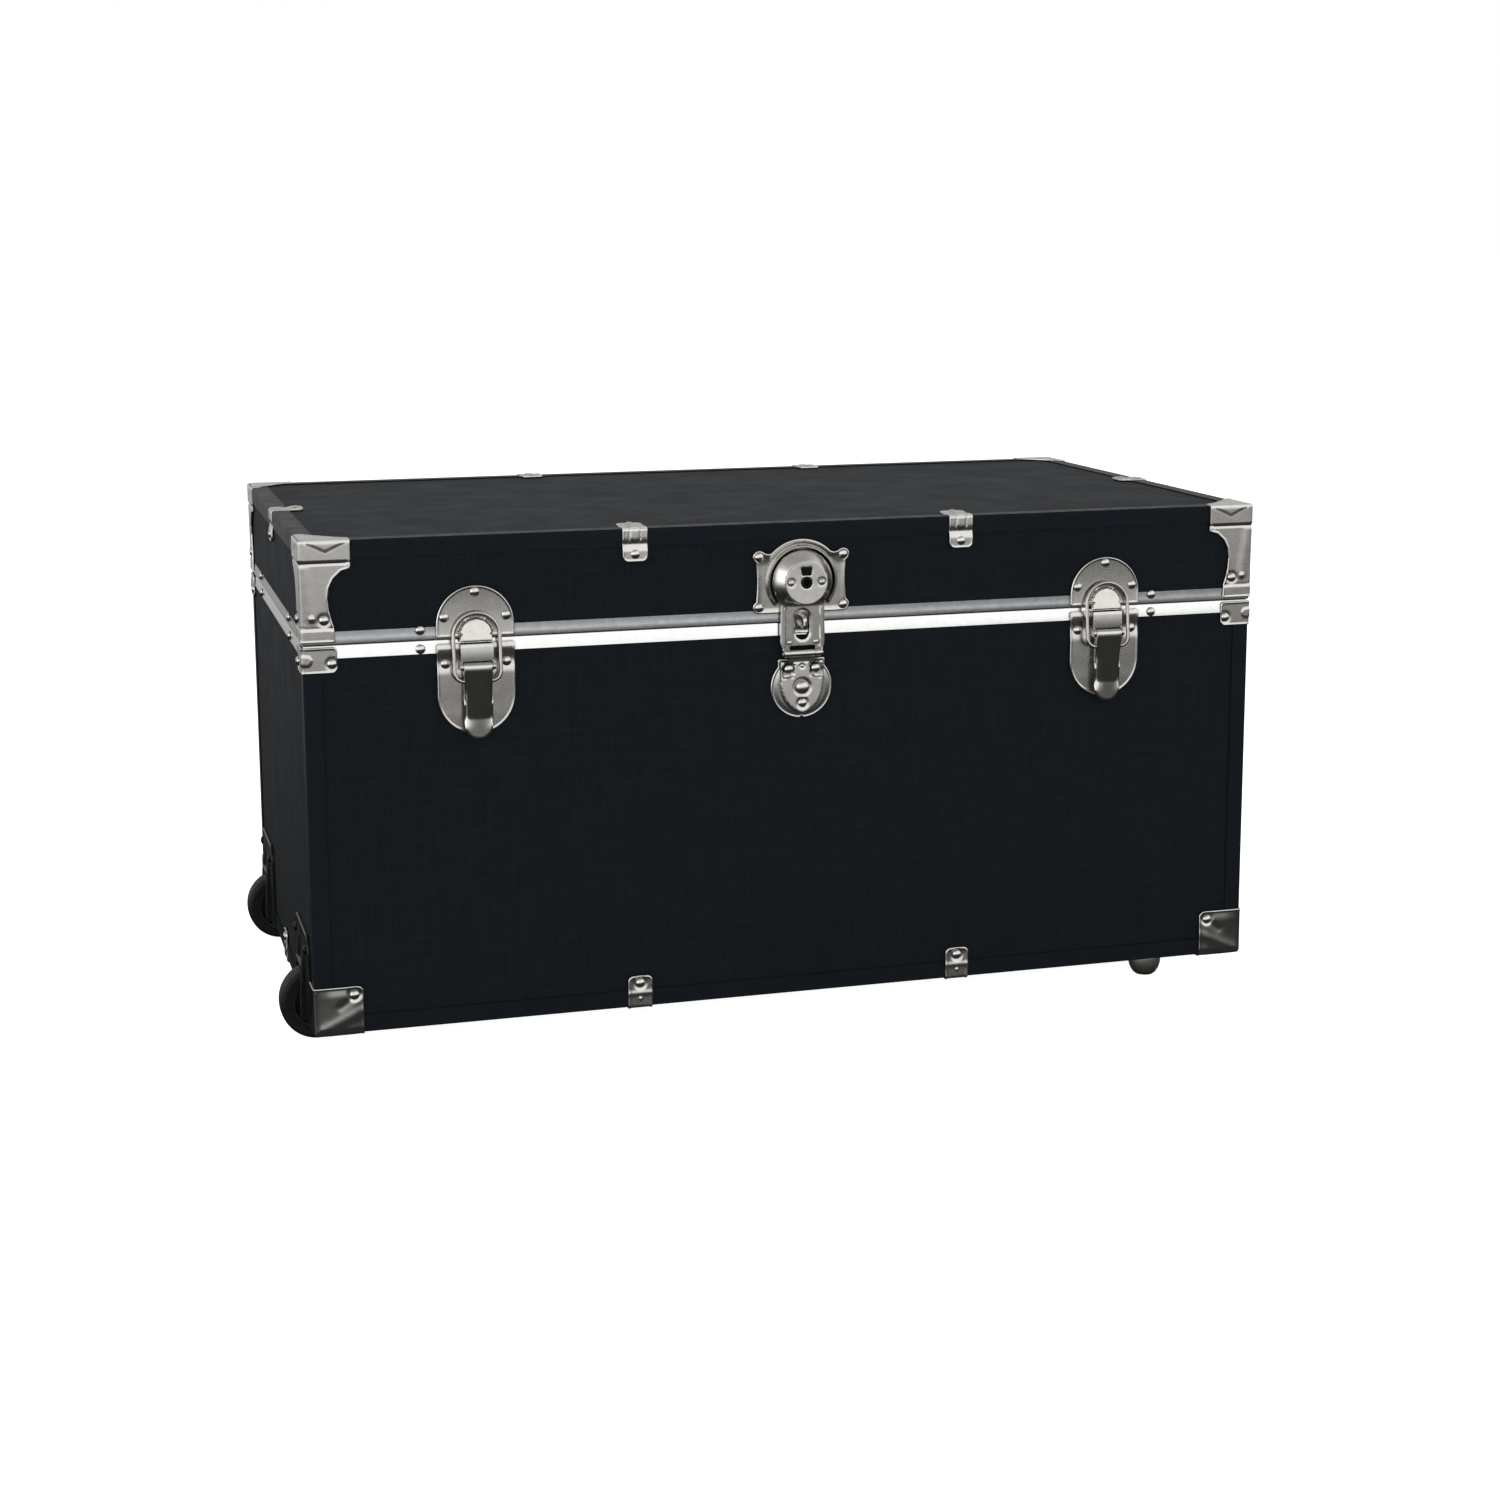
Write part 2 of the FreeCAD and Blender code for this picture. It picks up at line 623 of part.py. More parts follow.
def latch_catch(x):
    """Round-topped lid plate with the raised catch that the bail hooks over."""
    low, high = LATCH_LID_H
    shoulder = high - LATCH_R
    plate = front_prism(
        [(-LATCH_R, low), (LATCH_R, low), (LATCH_R, shoulder), ((0, high), (-LATCH_R, shoulder))],
        -RIM_INSET, PLATE_W, x)
    low, high = CATCH_H
    shoulder = high - CATCH_R
    dome = front_prism(
        [(-CATCH_R, low), (CATCH_R, low), (CATCH_R, shoulder), ((0, high), (-CATCH_R, shoulder))],
        PLATE_W - 0.1, CATCH_W, x)
    face = [e for e in dome.Edges if abs(e.CenterOfMass.y - (FRONT - CATCH_W)) < 1e-6]
    return plate.fuse(dome.makeFillet(2.0, face)).removeSplitter()


def latch_base(x):
    """Round-bottomed body plate with a bridge and two ears for the lever's pin."""
    low, high = LATCH_BODY_H
    shoulder = low + LATCH_R
    plate = front_prism(
        [(-LATCH_R, high), (LATCH_R, high), (LATCH_R, shoulder), ((0, low), (-LATCH_R, shoulder))],
        -RIM_INSET, PLATE_W, x)
    inner = LEVER_W / 2 + EAR_GAP
    outer = inner + EAR_T
    h0, h1 = BRIDGE_H
    bridge = front_box(x - outer, x + outer, h0, h1, BRIDGE_W - EAR_T, BRIDGE_W)
    pivot_h, pivot_w = LEVER_PIVOT
    parts = [plate, bridge]
    for side in (-1, 1):
        x0, x1 = sorted((x + side * inner, x + side * outer))
        cheek = front_box(x0, x1, pivot_h - LEVER_BARREL, h1, PLATE_W - 0.1, BRIDGE_W)
        neck = front_box(x0, x1, pivot_h - LEVER_BARREL, h0, BRIDGE_W, pivot_w)
        eye = rod(pivot_point(x0), pivot_point(x1), LEVER_BARREL)
        parts += [cheek, neck, eye]
    pin_hole = rod(pivot_point(x - 20), pivot_point(x + 20), PIN_R)
    return fuse(parts).cut(pin_hole)


def pivot_point(x):
    pivot_h, pivot_w = LEVER_PIVOT
    return V(x, FRONT - pivot_w, up(pivot_h))


def latch_pin(x):
    reach = LEVER_W / 2 + EAR_GAP + EAR_T
    shaft = rod(pivot_point(x - reach), pivot_point(x + reach), PIN_R)
    heads = [rod(pivot_point(x + side * reach), pivot_point(x + side * (reach + 1)), PIN_R + 0.8)
             for side in (-1, 1)]
    return fuse([shaft] + heads)


def latch_lever(x):
    """Pressed channel lever: a bowed front, two side flanges and a rolled barrel on the pin."""
    pivot_h, pivot_w = LEVER_PIVOT
    half = LEVER_W / 2
    front_w = pivot_w + LEVER_BARREL
    back_w = pivot_w - LEVER_BARREL
    tip = LEVER_TIP_H
    flange_w, flange_low_h = LEVER_FLANGE
    lip_in, lip_out = LEVER_LIP
    flange_h = pivot_h - 15.5
    bow_w, bow_h = LEVER_BOW
    profile = [(front_w, pivot_h), ((pivot_w, pivot_h + LEVER_BARREL), (back_w, pivot_h))]
    profile.append((back_w, flange_h))
    profile += [(flange_w, flange_low_h), (lip_in, tip), (lip_out, tip)]
    profile += [((bow_w - 0.1, tip + 7.6), (bow_w, tip + 17.6)), ((bow_w - 0.2, bow_h), (front_w, pivot_h))]
    solid = side_prism(profile, x - half, x + half)
    channel_w = front_w - 0.6
    channel_h = pivot_h - 4.0
    deep_w = bow_w - 1.5
    inside = [(channel_w, channel_h), (0.0, channel_h), (0.0, flange_low_h), (deep_w, flange_low_h)]
    inside += [((deep_w, bow_h - 3.0), (channel_w, channel_h))]
    channel = side_prism(inside, x - half + LEVER_WALL, x + half - LEVER_WALL)
    round_h = tip + half
    top_h = pivot_h + 15.0
    outline = [(-half, top_h), (-half, round_h), ((0, tip), (half, round_h)), (half, top_h)]
    trim = front_prism(outline, 0, lip_out + 4, x)
    pin_hole = rod(pivot_point(x - half), pivot_point(x + half), PIN_R + PIN_EASE)
    bail_hole = rod(bail_point(x - half), bail_point(x + half), WIRE_R + PIN_EASE)
    return solid.cut(channel).common(trim).cut([pin_hole, bail_hole])


def bail_point(x):
    bail_h, bail_w = BAIL_PIVOT
    return V(x, FRONT - bail_w, up(bail_h))


def latch_bail(x):
    """Wire loop: its ends turn into the lever's flanges and its head rings the catch."""
    high_h, high_w = BAIL_TOP
    foot = bail_point(x)
    head = V(x, FRONT - high_w, up(high_h))
    across = V(BAIL_HALF, 0, 0)
    stub = V(LEVER_W / 2 - LEVER_WALL - 0.6, 0, 0)
    points = [foot - stub, foot - across, head - across, head + across, foot + across, foot + stub]
    head_bend = BAIL_HALF - 0.01
    return bent_rod(points, [BAIL_BEND, head_bend, head_bend, BAIL_BEND], WIRE_R)


# ---------------------------------------------------------------- hasp lock

def disc_on_front(x, h, radius, w0, w1):
    return rod(V(x, FRONT - w0, up(h)), V(x, FRONT - w1, up(h)), radius)


def strike_plate():
    """Eared lid plate with a raised ring that the hasp's dome closes into."""
    ear_x, ear_top, ear_low = STRIKE_EAR
    ears = [disc_on_front(x, h, STRIKE_EAR_R, -RIM_INSET, PLATE_W)
            for x in (-ear_x, ear_x) for h in (ear_top, ear_low)]
    flank = ear_x + STRIKE_EAR_R
    body = front_box(-flank, flank, ear_low, ear_top, -RIM_INSET, PLATE_W)
    waist_x = STRIKE_WAIST + STRIKE_HOLLOW_R
    waist_h = (ear_top + ear_low) / 2
    hollows = [disc_on_front(side * waist_x, waist_h, STRIKE_HOLLOW_R, -1, 2) for side in (-1, 1)]
    edge = ear_x - 2.2
    middle = front_box(-edge, edge, ear_low - STRIKE_EAR_R, ear_top + 2, -RIM_INSET, PLATE_W)
    crown = disc_on_front(0, LOCK_H, STRIKE_R, 0, PLATE_W)
    tab_half, tab_low = STRIKE_TAB
    tab = front_box(-tab_half, tab_half, tab_low, LOCK_H, -RIM_INSET, PLATE_W)
    plate = fuse([body.cut(hollows), middle, crown, tab] + ears)
    inner_r, outer_r = RING_R
    middle_r = (inner_r + outer_r) / 2
    ring = front_turned(0, LOCK_H, [(inner_r, PLATE_W - 0.1), (inner_r, RING_W - 1.5),
                                    ((middle_r, RING_W), (outer_r, RING_W - 1.5)), (outer_r, PLATE_W - 0.1)])
    gate = front_box(-STRAP_HALF - 0.9, STRAP_HALF + 0.9, LOCK_H - 40, LOCK_H, 0, RING_W + 1)
    keeper = front_box(-BOLT_HALF - BOLT_EASE, BOLT_HALF + BOLT_EASE, LOCK_H, LOCK_H + middle_r + 0.9,
                       BOLT_W[0] - BOLT_EASE, BOLT_W[1] + BOLT_EASE)
    low_h, high_h = RING_SLOPE_H
    clear_w = DOME_W + 5
    slope = side_prism([(RING_LOW_W, low_h), (RING_W + 0.2, high_h), (clear_w, high_h), (clear_w, low_h)],
                       -flank, flank)
    plate = plate.fuse(ring.cut([gate, keeper, slope])).removeSplitter()
    return plate.cut(staple_legs())


def staple_legs():
    low, high = STAPLE_H
    return [disc_on_front(0, h, WIRE_R, -RIM_INSET - 0.1, STAPLE_W) for h in (low, high)]


def padlock_staple():
    """Wire loop on the lid that comes through the hasp's slot, for a padlock."""
    low, high = STAPLE_H
    start = V(0, FRONT + RIM_INSET, up(low))
    points = [start, V(0, FRONT - STAPLE_W, up(low)), V(0, FRONT - STAPLE_W, up(high))]
    points.append(V(0, FRONT + RIM_INSET, up(high)))
    return bent_rod(points, [STAPLE_BEND, STAPLE_BEND], WIRE_R)


def hasp():
    """Hinged strap with the domed lock case at its head."""
    shoulder = [(DOME_R, DOME_BACK), (DOME_R, 4.0), ((23.5, 11.6), (FACE_R, DOME_W)), (0, DOME_W)]
    shoulder += [(0, DOME_W - 1.2), (FACE_R - 0.5, DOME_W - 1.2), ((22.5, 10.6), (DOME_R - 1.2, 4.0))]
    shoulder += [(DOME_R - 1.2, DOME_BACK)]
    dome = front_turned(0, LOCK_H, shoulder)
    hinge_h, hinge_w = HASP_PIVOT
    back_w, face_w = STRAP_W
    strap_low = hinge_h + HASP_KNUCKLE + 0.7
    strap_high = LOCK_H - 16.0
    strap = front_box(-STRAP_HALF, STRAP_HALF, strap_low, strap_high, back_w, face_w)
    flange = front_box(STRAP_HALF - 1.2, STRAP_HALF, strap_low + 4.0, strap_high, DOME_BACK, face_w)
    flanges = [flange, mirror_x(flange)]
    cavity = front_turned(0, LOCK_H, [(0, 0), (DOME_R - 1.2, 0), (DOME_R - 1.2, 4.0),
                                      ((22.5, 10.6), (FACE_R - 0.5, DOME_W - 1.2)), (0, DOME_W - 1.2)])
    knuckles = []
    for side in (-1, 1):
        x0, x1 = sorted((side * (HASP_MIDDLE / 2 + 0.5), side * 17.2))
        knuckles.append(rod(hasp_point(x0), hasp_point(x1), HASP_KNUCKLE))
        knuckles.append(front_box(x0, x1, hinge_h, strap_low + 1, back_w, face_w))
    slot_half, slot_low, slot_high = HASP_SLOT
    low_h = slot_low + slot_half
    high_h = slot_high - slot_half
    oval = [(-slot_half, low_h), ((0, slot_low), (slot_half, low_h))]
    oval += [(slot_half, high_h), ((0, slot_high), (-slot_half, high_h))]
    slot = front_prism(oval, 0, DOME_W)
    body = fuse([strap] + flanges).cut(cavity)
    shape = fuse([dome, body] + knuckles)
    bolt_way = front_box(-BOLT_HALF - BOLT_EASE, BOLT_HALF + BOLT_EASE, LOCK_H + 15, LOCK_H + DOME_R + 1,
                         BOLT_W[0] - BOLT_EASE, BOLT_W[1] + BOLT_EASE)
    plug_hole = disc_on_front(0, LOCK_H, PLUG_R + PIN_EASE, 5, 20)
    pin_hole = rod(hasp_point(-20), hasp_point(20), PIN_R + PIN_EASE)
    return shape.cut([slot, bolt_way, plug_hole, pin_hole])


def hasp_point(x):
    hinge_h, hinge_w = HASP_PIVOT
    return V(x, FRONT - hinge_w, up(hinge_h))


def hasp_face():
    """Round cover plate on the dome, with a key window, the plug hole and two studs."""
    disc = front_turned(0, LOCK_H, [(0, DOME_W), (FACE_R, DOME_W), (FACE_R, FACE_W - 0.8),
                                    ((FACE_R - 0.3, FACE_W - 0.3), (FACE_R - 0.8, FACE_W)), (0, FACE_W)])
    stud = [(0, FACE_W - 0.1)] + dome_steps(STUD_R, FACE_W - 0.1, 1.5)
    studs = [front_turned(x, LOCK_H + 0.5, stud) for x in (-STUD_X, STUD_X)]
    wide, narrow, low, high = WINDOW
    window = front_prism([(-wide, high), (wide, high), (narrow, low), (-narrow, low)], 12, 20)
    plug_hole = disc_on_front(0, LOCK_H, PLUG_R + PIN_EASE, 5, 20)
    return fuse([disc] + studs).cut([window, plug_hole])


def lock_plug():
    """Key plug with a cam arm that lifts the bolt."""
    barrel = disc_on_front(0, LOCK_H, PLUG_R, PLUG_IN, FACE_W - 0.2)
    arm = front_box(0, CAM_REACH, LOCK_H - 1.2, LOCK_H + 1.2, PLUG_IN, PLUG_IN + CAM_T)
    keyway = front_box(-1.0, 1.0, LOCK_H - 2.8, LOCK_H + 2.8, PLUG_IN + 1.5, FACE_W)
    return fuse([barrel, arm]).cut(keyway)


def lock_bolt():
    """Sliding bolt with a lug that the cam lifts."""
    w0, w1 = BOLT_W
    h0, h1 = BOLT_H
    plate = front_box(-BOLT_HALF, BOLT_HALF, h0, h1, w0, w1)
    lug = front_box(-3.0, 3.0, h0, h0 + 1.5, w0, PLUG_IN + CAM_T)
    return fuse([plate, lug])


def lower_lock_plate():
    """Round body plate with a raised shield and the hasp's middle knuckle."""
    disc = disc_on_front(0, LOWER_H, LOWER_R, -RIM_INSET, PLATE_W)
    shoulders = front_box(-LOWER_HALF, LOWER_HALF, LOWER_H, LOWER_TOP, -RIM_INSET, PLATE_W)
    wide, top, shoulder, point = SHIELD
    turn = ((13.4, 243.0), (0, point)), ((-13.4, 243.0), (-wide, shoulder))
    shield = front_prism([(-wide, top), (wide, top), (wide, shoulder), *turn], PLATE_W - 0.1, SHIELD_W)
    rim = [e for e in shield.Edges if abs(e.CenterOfMass.y - (FRONT - SHIELD_W)) < 1e-6]
    shield = shield.makeFillet(1.0, rim)
    boss_r, boss_rise = BOSS
    boss = front_turned(0, LOWER_H, [(0, SHIELD_W - 0.1)] + dome_steps(boss_r, SHIELD_W - 0.1, boss_rise))
    half = HASP_MIDDLE / 2
    knuckle = rod(hasp_point(-half), hasp_point(half), HASP_KNUCKLE)
    hinge_h, hinge_w = HASP_PIVOT
    leaf = front_box(-half, half, LOWER_TOP - 2, hinge_h, PLATE_W - 1.0, hinge_w - 1.6)
    pin_hole = rod(hasp_point(-20), hasp_point(20), PIN_R)
    return fuse([disc, shoulders, shield, boss, leaf, knuckle]).cut(pin_hole)


def hasp_pin():
    return rod(hasp_point(-17.0), hasp_point(17.0), PIN_R)


# ---------------------------------------------------------------- rear hinges

def hinge_point(x):
    return V(x, BACK + HINGE_OUT, up(HINGE_H))


def hinge_leaf(x, rise, first):
    """Leaf with every other knuckle, from first; rise is +1 on the lid and -1 on the body."""
    z0, z1 = sorted((up(HINGE_H) + rise * 3.6, up(HINGE_H) + rise * (3.6 + HINGE_LEAF)))
    leaf = block(x - HINGE_W / 2, x + HINGE_W / 2, BACK - RIM_INSET, BACK + PLATE_W, z0, z1)
    free = [e for e in leaf.Edges
            if abs(e.Length - PLATE_T) < 1e-6 and rise * (e.CenterOfMass.z - up(HINGE_H)) > HINGE_LEAF]
    parts = [leaf.makeFillet(6.0, free)]
    pitch = HINGE_W / KNUCKLES
    for i in range(first, KNUCKLES, 2):
        x0 = x - HINGE_W / 2 + i * pitch + 0.15
        x1 = x0 + pitch - 0.3
        z0, z1 = sorted((up(HINGE_H), up(HINGE_H) + rise * 4.0))
        parts.append(rod(hinge_point(x0), hinge_point(x1), HINGE_BARREL))
        parts.append(block(x0, x1, BACK + 0.1, BACK + PLATE_W, z0, z1))
    ease = PIN_EASE if rise > 0 else 0.0
    return fuse(parts).cut(rod(hinge_point(x - HINGE_W), hinge_point(x + HINGE_W), PIN_R + ease))


def hinge_pin(x):
    return rod(hinge_point(x - HINGE_W / 2), hinge_point(x + HINGE_W / 2), PIN_R)


# ---------------------------------------------------------------- wheels and glides

def housing_cheek(y0, y1):
    """Upright rib beside the wheel opening, proudest by the axle and thinning towards its top."""
    foot = BOTTOM - FLANGE_PROUD
    thick = [(-BIND_T, foot), (CHEEK_OUT - 1.5, foot), (CHEEK_OUT, foot + 4.0), (CHEEK_OUT, WHEEL_R + 4.0)]
    thick += [((CHEEK_OUT - 0.8, WHEEL_R + 20.0), (FLANGE_PROUD, up(CHEEK_TOP))), (-BIND_T, up(CHEEK_TOP))]
    rib = face_of(lambda out, z: V(LEFT - out, y0, z), thick).extrude(V(0, y1 - y0, 0))
    outer = [e for e in rib.Edges if e.CenterOfMass.x < LEFT - FLANGE_PROUD]
    long_edges = [e for e in outer if min(abs(e.CenterOfMass.y - y0), abs(e.CenterOfMass.y - y1)) < 1e-6]
    return rib.makeFillet(CHEEK_T / 2 - 1.0, long_edges)


def wheel_housing(y):
    """Moulded pocket for one wheel, with flanges on the left face and the underside."""
    half = WHEEL_W / 2 + WELL_SIDE
    shell = half + WELL_T
    outer = well_space(y, WHEEL_R + WELL_EASE + WELL_T, shell)
    outer = outer.common(block(LEFT, RIGHT, FRONT, BACK, BOTTOM, TOP))
    y0, y1 = y - FLANGE_HALF, y + FLANGE_HALF
    side = block(LEFT - FLANGE_PROUD, LEFT + BIND_T, y0, y1, BOTTOM - FLANGE_PROUD, up(FLANGE_H))
    corners = [e for e in side.Edges
               if abs(e.Length - FLANGE_PROUD - BIND_T) < 1e-6 and e.CenterOfMass.z > up(FLANGE_H) - 1]
    side = side.makeFillet(FLANGE_R, corners)
    face = [e for e in side.Edges if abs(e.CenterOfMass.x - (LEFT - FLANGE_PROUD)) < 1e-6]
    side = side.makeFillet(1.2, face)
    under = block(LEFT + BIND_T, LEFT + FLANGE_IN, y0, y1, BOTTOM - FLANGE_PROUD, BOTTOM + BIND_T)
    hood = block(LEFT - HOOD_OUT, LEFT, y - shell, y + shell, BOTTOM - FLANGE_PROUD, up(FLANGE_H) - 8)
    hood = hood.common(rod(axle_point(y - shell), axle_point(y + shell), WHEEL_R + 6.5))
    cheeks = [housing_cheek(y + half, y + half + CHEEK_T), housing_cheek(y - half - CHEEK_T, y - half)]
    space = rod(axle_point(y - half), axle_point(y + half), WHEEL_R + WELL_EASE)
    axle_hole = rod(axle_point(y - FLANGE_HALF), axle_point(y + FLANGE_HALF), AXLE_R)
    return fuse([outer, side, under, hood] + cheeks).cut([space, axle_hole])


def axle_point(y):
    return V(WHEEL_X, y, WHEEL_R)


def wheel_axle(y):
    reach = WHEEL_W / 2 + WELL_SIDE + WELL_T
    shaft = rod(axle_point(y - reach), axle_point(y + reach), AXLE_R)
    heads = [rod(axle_point(y + side * reach), axle_point(y + side * (reach + AXLE_HEAD)), AXLE_R + 2)
             for side in (-1, 1)]
    return fuse([shaft] + heads)


def wheel_hub(y):
    """Moulded hub: boss, dished web with spokes, and the rim that carries the tyre."""
    half = WHEEL_W / 2
    steps = [(AXLE_R + AXLE_EASE, -half), (8.0, -half), (8.0, -5.0), (17.5, -5.0), (18.5, -half + 1.0)]
    steps += [(TYRE_R, -half + 1.0), (TYRE_R, half - 1.0), (18.5, half - 1.0), (17.5, 5.0), (8.0, 5.0)]
    steps += [(8.0, half), (AXLE_R + AXLE_EASE, half)]
    face = face_of(lambda r, w: V(WHEEL_X + r, y + w, WHEEL_R), steps)
    hub = face.revolve(axle_point(y), V(0, 1, 0), 360)
    spokes = []
    for i in range(5):
        spoke = block(WHEEL_X + 6, WHEEL_X + 19, y - half + 2, y + half - 2, WHEEL_R - 1.2, WHEEL_R + 1.2)
        spoke.rotate(axle_point(y), V(0, 1, 0), 72 * i)
        spokes.append(spoke)
    return fuse([hub] + spokes)


def wheel_tyre(y):
    """Tyre with a crowned tread and rounded shoulders."""
    half = WHEEL_W / 2
    shoulder = 3.5
    edge = WHEEL_R - shoulder
    turn = shoulder * (1 - math.sqrt(0.5))
    side_r = WHEEL_R - TREAD_CROWN
    flat = half - shoulder
    steps = [(TYRE_R, -half), (edge - TREAD_CROWN, -half), ((side_r - turn, turn - half), (side_r, -flat))]
    steps += [((WHEEL_R, 0), (side_r, flat)), ((side_r - turn, half - turn), (edge - TREAD_CROWN, half))]
    steps.append((TYRE_R, half))
    face = face_of(lambda r, w: V(WHEEL_X + r, y + w, WHEEL_R), steps)
    return face.revolve(axle_point(y), V(0, 1, 0), 360)


def glide(y):
    """Bullet-shaped foot with a flat end, seated on the bottom panel by a spigot."""
    steps = [(3.0, GROUND + BIND_T), (10.0, GROUND + BIND_T), (10.0, GROUND), (GLIDE_R, GROUND)]
    steps += [(GLIDE_R, 15.0), ((13.6, 4.6), (GLIDE_FLAT, 0)), (0, 0), (0, 6.0), (3.0, 6.0)]
    face = face_of(lambda r, z: V(GLIDE_X + r, y, z), steps)
    return face.revolve(V(GLIDE_X, y, 0), V(0, 0, 1), 360)


def glide_screw(y):
    """Screw from inside the case into the glide."""
    shank = Part.makeCylinder(3.0, BOTTOM + INSIDE - 7.0, V(GLIDE_X, y, 7.0))
    head = Part.makeCone(7.0, 4.0, 2.5, V(GLIDE_X, y, BOTTOM + INSIDE))
    return shank.fuse(head).removeSplitter()


# ---------------------------------------------------------------- pull handle

def handle_point(y, drop=0.0):
    return V(RIGHT + HANDLE_OUT, y, up(HANDLE_H) - drop)


def handle_bracket(y):
    """Riveted plate with a lug that the handle's rod turns in."""
    wing = 22.0
    plate = block(RIGHT - BIND_T, RIGHT + PLATE_W, y - 13, y + 13, up(HANDLE_H) - wing, up(HANDLE_H) + wing)
    corners = [e for e in plate.Edges if abs(e.Length - PLATE_W - BIND_T) < 1e-6]
    plate = plate.makeFillet(6.0, corners)
    lug = block(RIGHT, RIGHT + HANDLE_OUT, y - 5, y + 5, up(HANDLE_H) - LUG_R, up(HANDLE_H) + LUG_R)
    eye = rod(handle_point(y - 5), handle_point(y + 5), LUG_R)
    hole = rod(handle_point(y - 30), handle_point(y + 30), ROD_R + PIN_EASE)
    return fuse([plate, lug, eye]).cut(hole)


def handle_rod():
    """Steel rod: its ends turn in the brackets and its cross bar carries the grip."""
    inner = HANDLE_HALF - 7.0
    turn = 8.0
    outer = HANDLE_HALF + 14.0
    places = ((-inner, 0), (-outer, 0), (-outer, HANDLE_DROP), (outer, HANDLE_DROP), (outer, 0), (inner, 0))
    points = [handle_point(MID_Y + along, drop) for along, drop in places]
    return bent_rod(points, [turn] * 4, ROD_R)


def handle_grip():
    """Moulded grip: a flattened barrel that swells towards its middle."""
    steps = [(-GRIP_HALF, 0), (-GRIP_HALF, 0.78), ((0, 1.0), (GRIP_HALF, 0.78)), (GRIP_HALF, 0)]
    face = face_of(lambda along, r: V(0, along, r * GRIP_TALL), steps)
    barrel = face.revolve(V(0, 0, 0), V(0, 1, 0), 360)
    squash = FreeCAD.Matrix()
    squash.scale(V(GRIP_OUT / GRIP_TALL, 1, 1))
    barrel = barrel.transformGeometry(squash)
    barrel.translate(handle_point(MID_Y, HANDLE_DROP))
    bore = rod(handle_point(MID_Y - 90, HANDLE_DROP), handle_point(MID_Y + 90, HANDLE_DROP), ROD_R)
    return barrel.cut(bore)


# ---------------------------------------------------------------- assembly

def body_nodes():
    nodes = body_panels()
    strips = edge_binding(BOTTOM, 1, BOTTOM + BIND_LEG, up(SEAM_H - RIM_H))
    nodes["body_binding"] = group(strips).cut(flange_space())
    nodes["body_rim"] = body_rim()
    nodes["body_corner_clamps"] = group(four_corners(body_clamp()))
    left = bottom_corner(False)
    right = mirror_x(bottom_corner(True))
    nodes["bottom_corners"] = group([left, mirror_y(left), right, mirror_y(right)])
    nodes["bottom_edge_clips"] = group(edge_clips(BOTTOM, 1))
    for name, x in (("left", -LATCH_X), ("right", LATCH_X)):
        nodes["latch_base_" + name] = latch_base(x)
    nodes["lower_lock_plate"] = lower_lock_plate()
    nodes["body_hinge_leaves"] = group([hinge_leaf(x, -1, 0) for x in (-HINGE_X, HINGE_X)])
    for name, y in zip(("front", "rear"), WHEEL_Y):
        nodes["wheel_housing_" + name] = wheel_housing(y)
    for name, y in zip(("front", "rear"), GLIDE_Y):
        nodes["glide_" + name] = glide(y)
    for name, y in (("front", MID_Y - HANDLE_HALF), ("rear", MID_Y + HANDLE_HALF)):
        nodes["handle_bracket_" + name] = handle_bracket(y)
    return nodes


def lid_nodes():
    nodes = lid_panels()
    nodes["lid_binding"] = group(edge_binding(TOP, -1, up(SEAM_H + SEAM_GAP + RIM_H), TOP - BIND_LEG))
    nodes["lid_rim"] = lid_rim()
    nodes["lid_corners"] = group(four_corners(lid_corner()))
    nodes["lid_edge_clips"] = group(edge_clips(TOP, -1))
    for name, x in (("left", -LATCH_X), ("right", LATCH_X)):
        nodes["latch_catch_" + name] = latch_catch(x)
    nodes["strike_plate"] = strike_plate()
    nodes["lid_hinge_leaves"] = group([hinge_leaf(x, 1, 1) for x in (-HINGE_X, HINGE_X)])
    return nodes


def drilled(nodes, spots):
    """The nodes with a clearance hole wherever a rivet's shank passes."""
    holes = [shank_hole(*spot) for spot in spots]
    done = {}
    for name, shape in nodes.items():
        box = shape.BoundBox
        through = [hole for hole in holes if box.intersect(hole.BoundBox)]
        done[name] = shape.cut(through) if through else shape
    return done


def glide_screw_holes():
    return [Part.makeCylinder(3.05, 40, V(GLIDE_X, y, GROUND)) for y in GLIDE_Y]


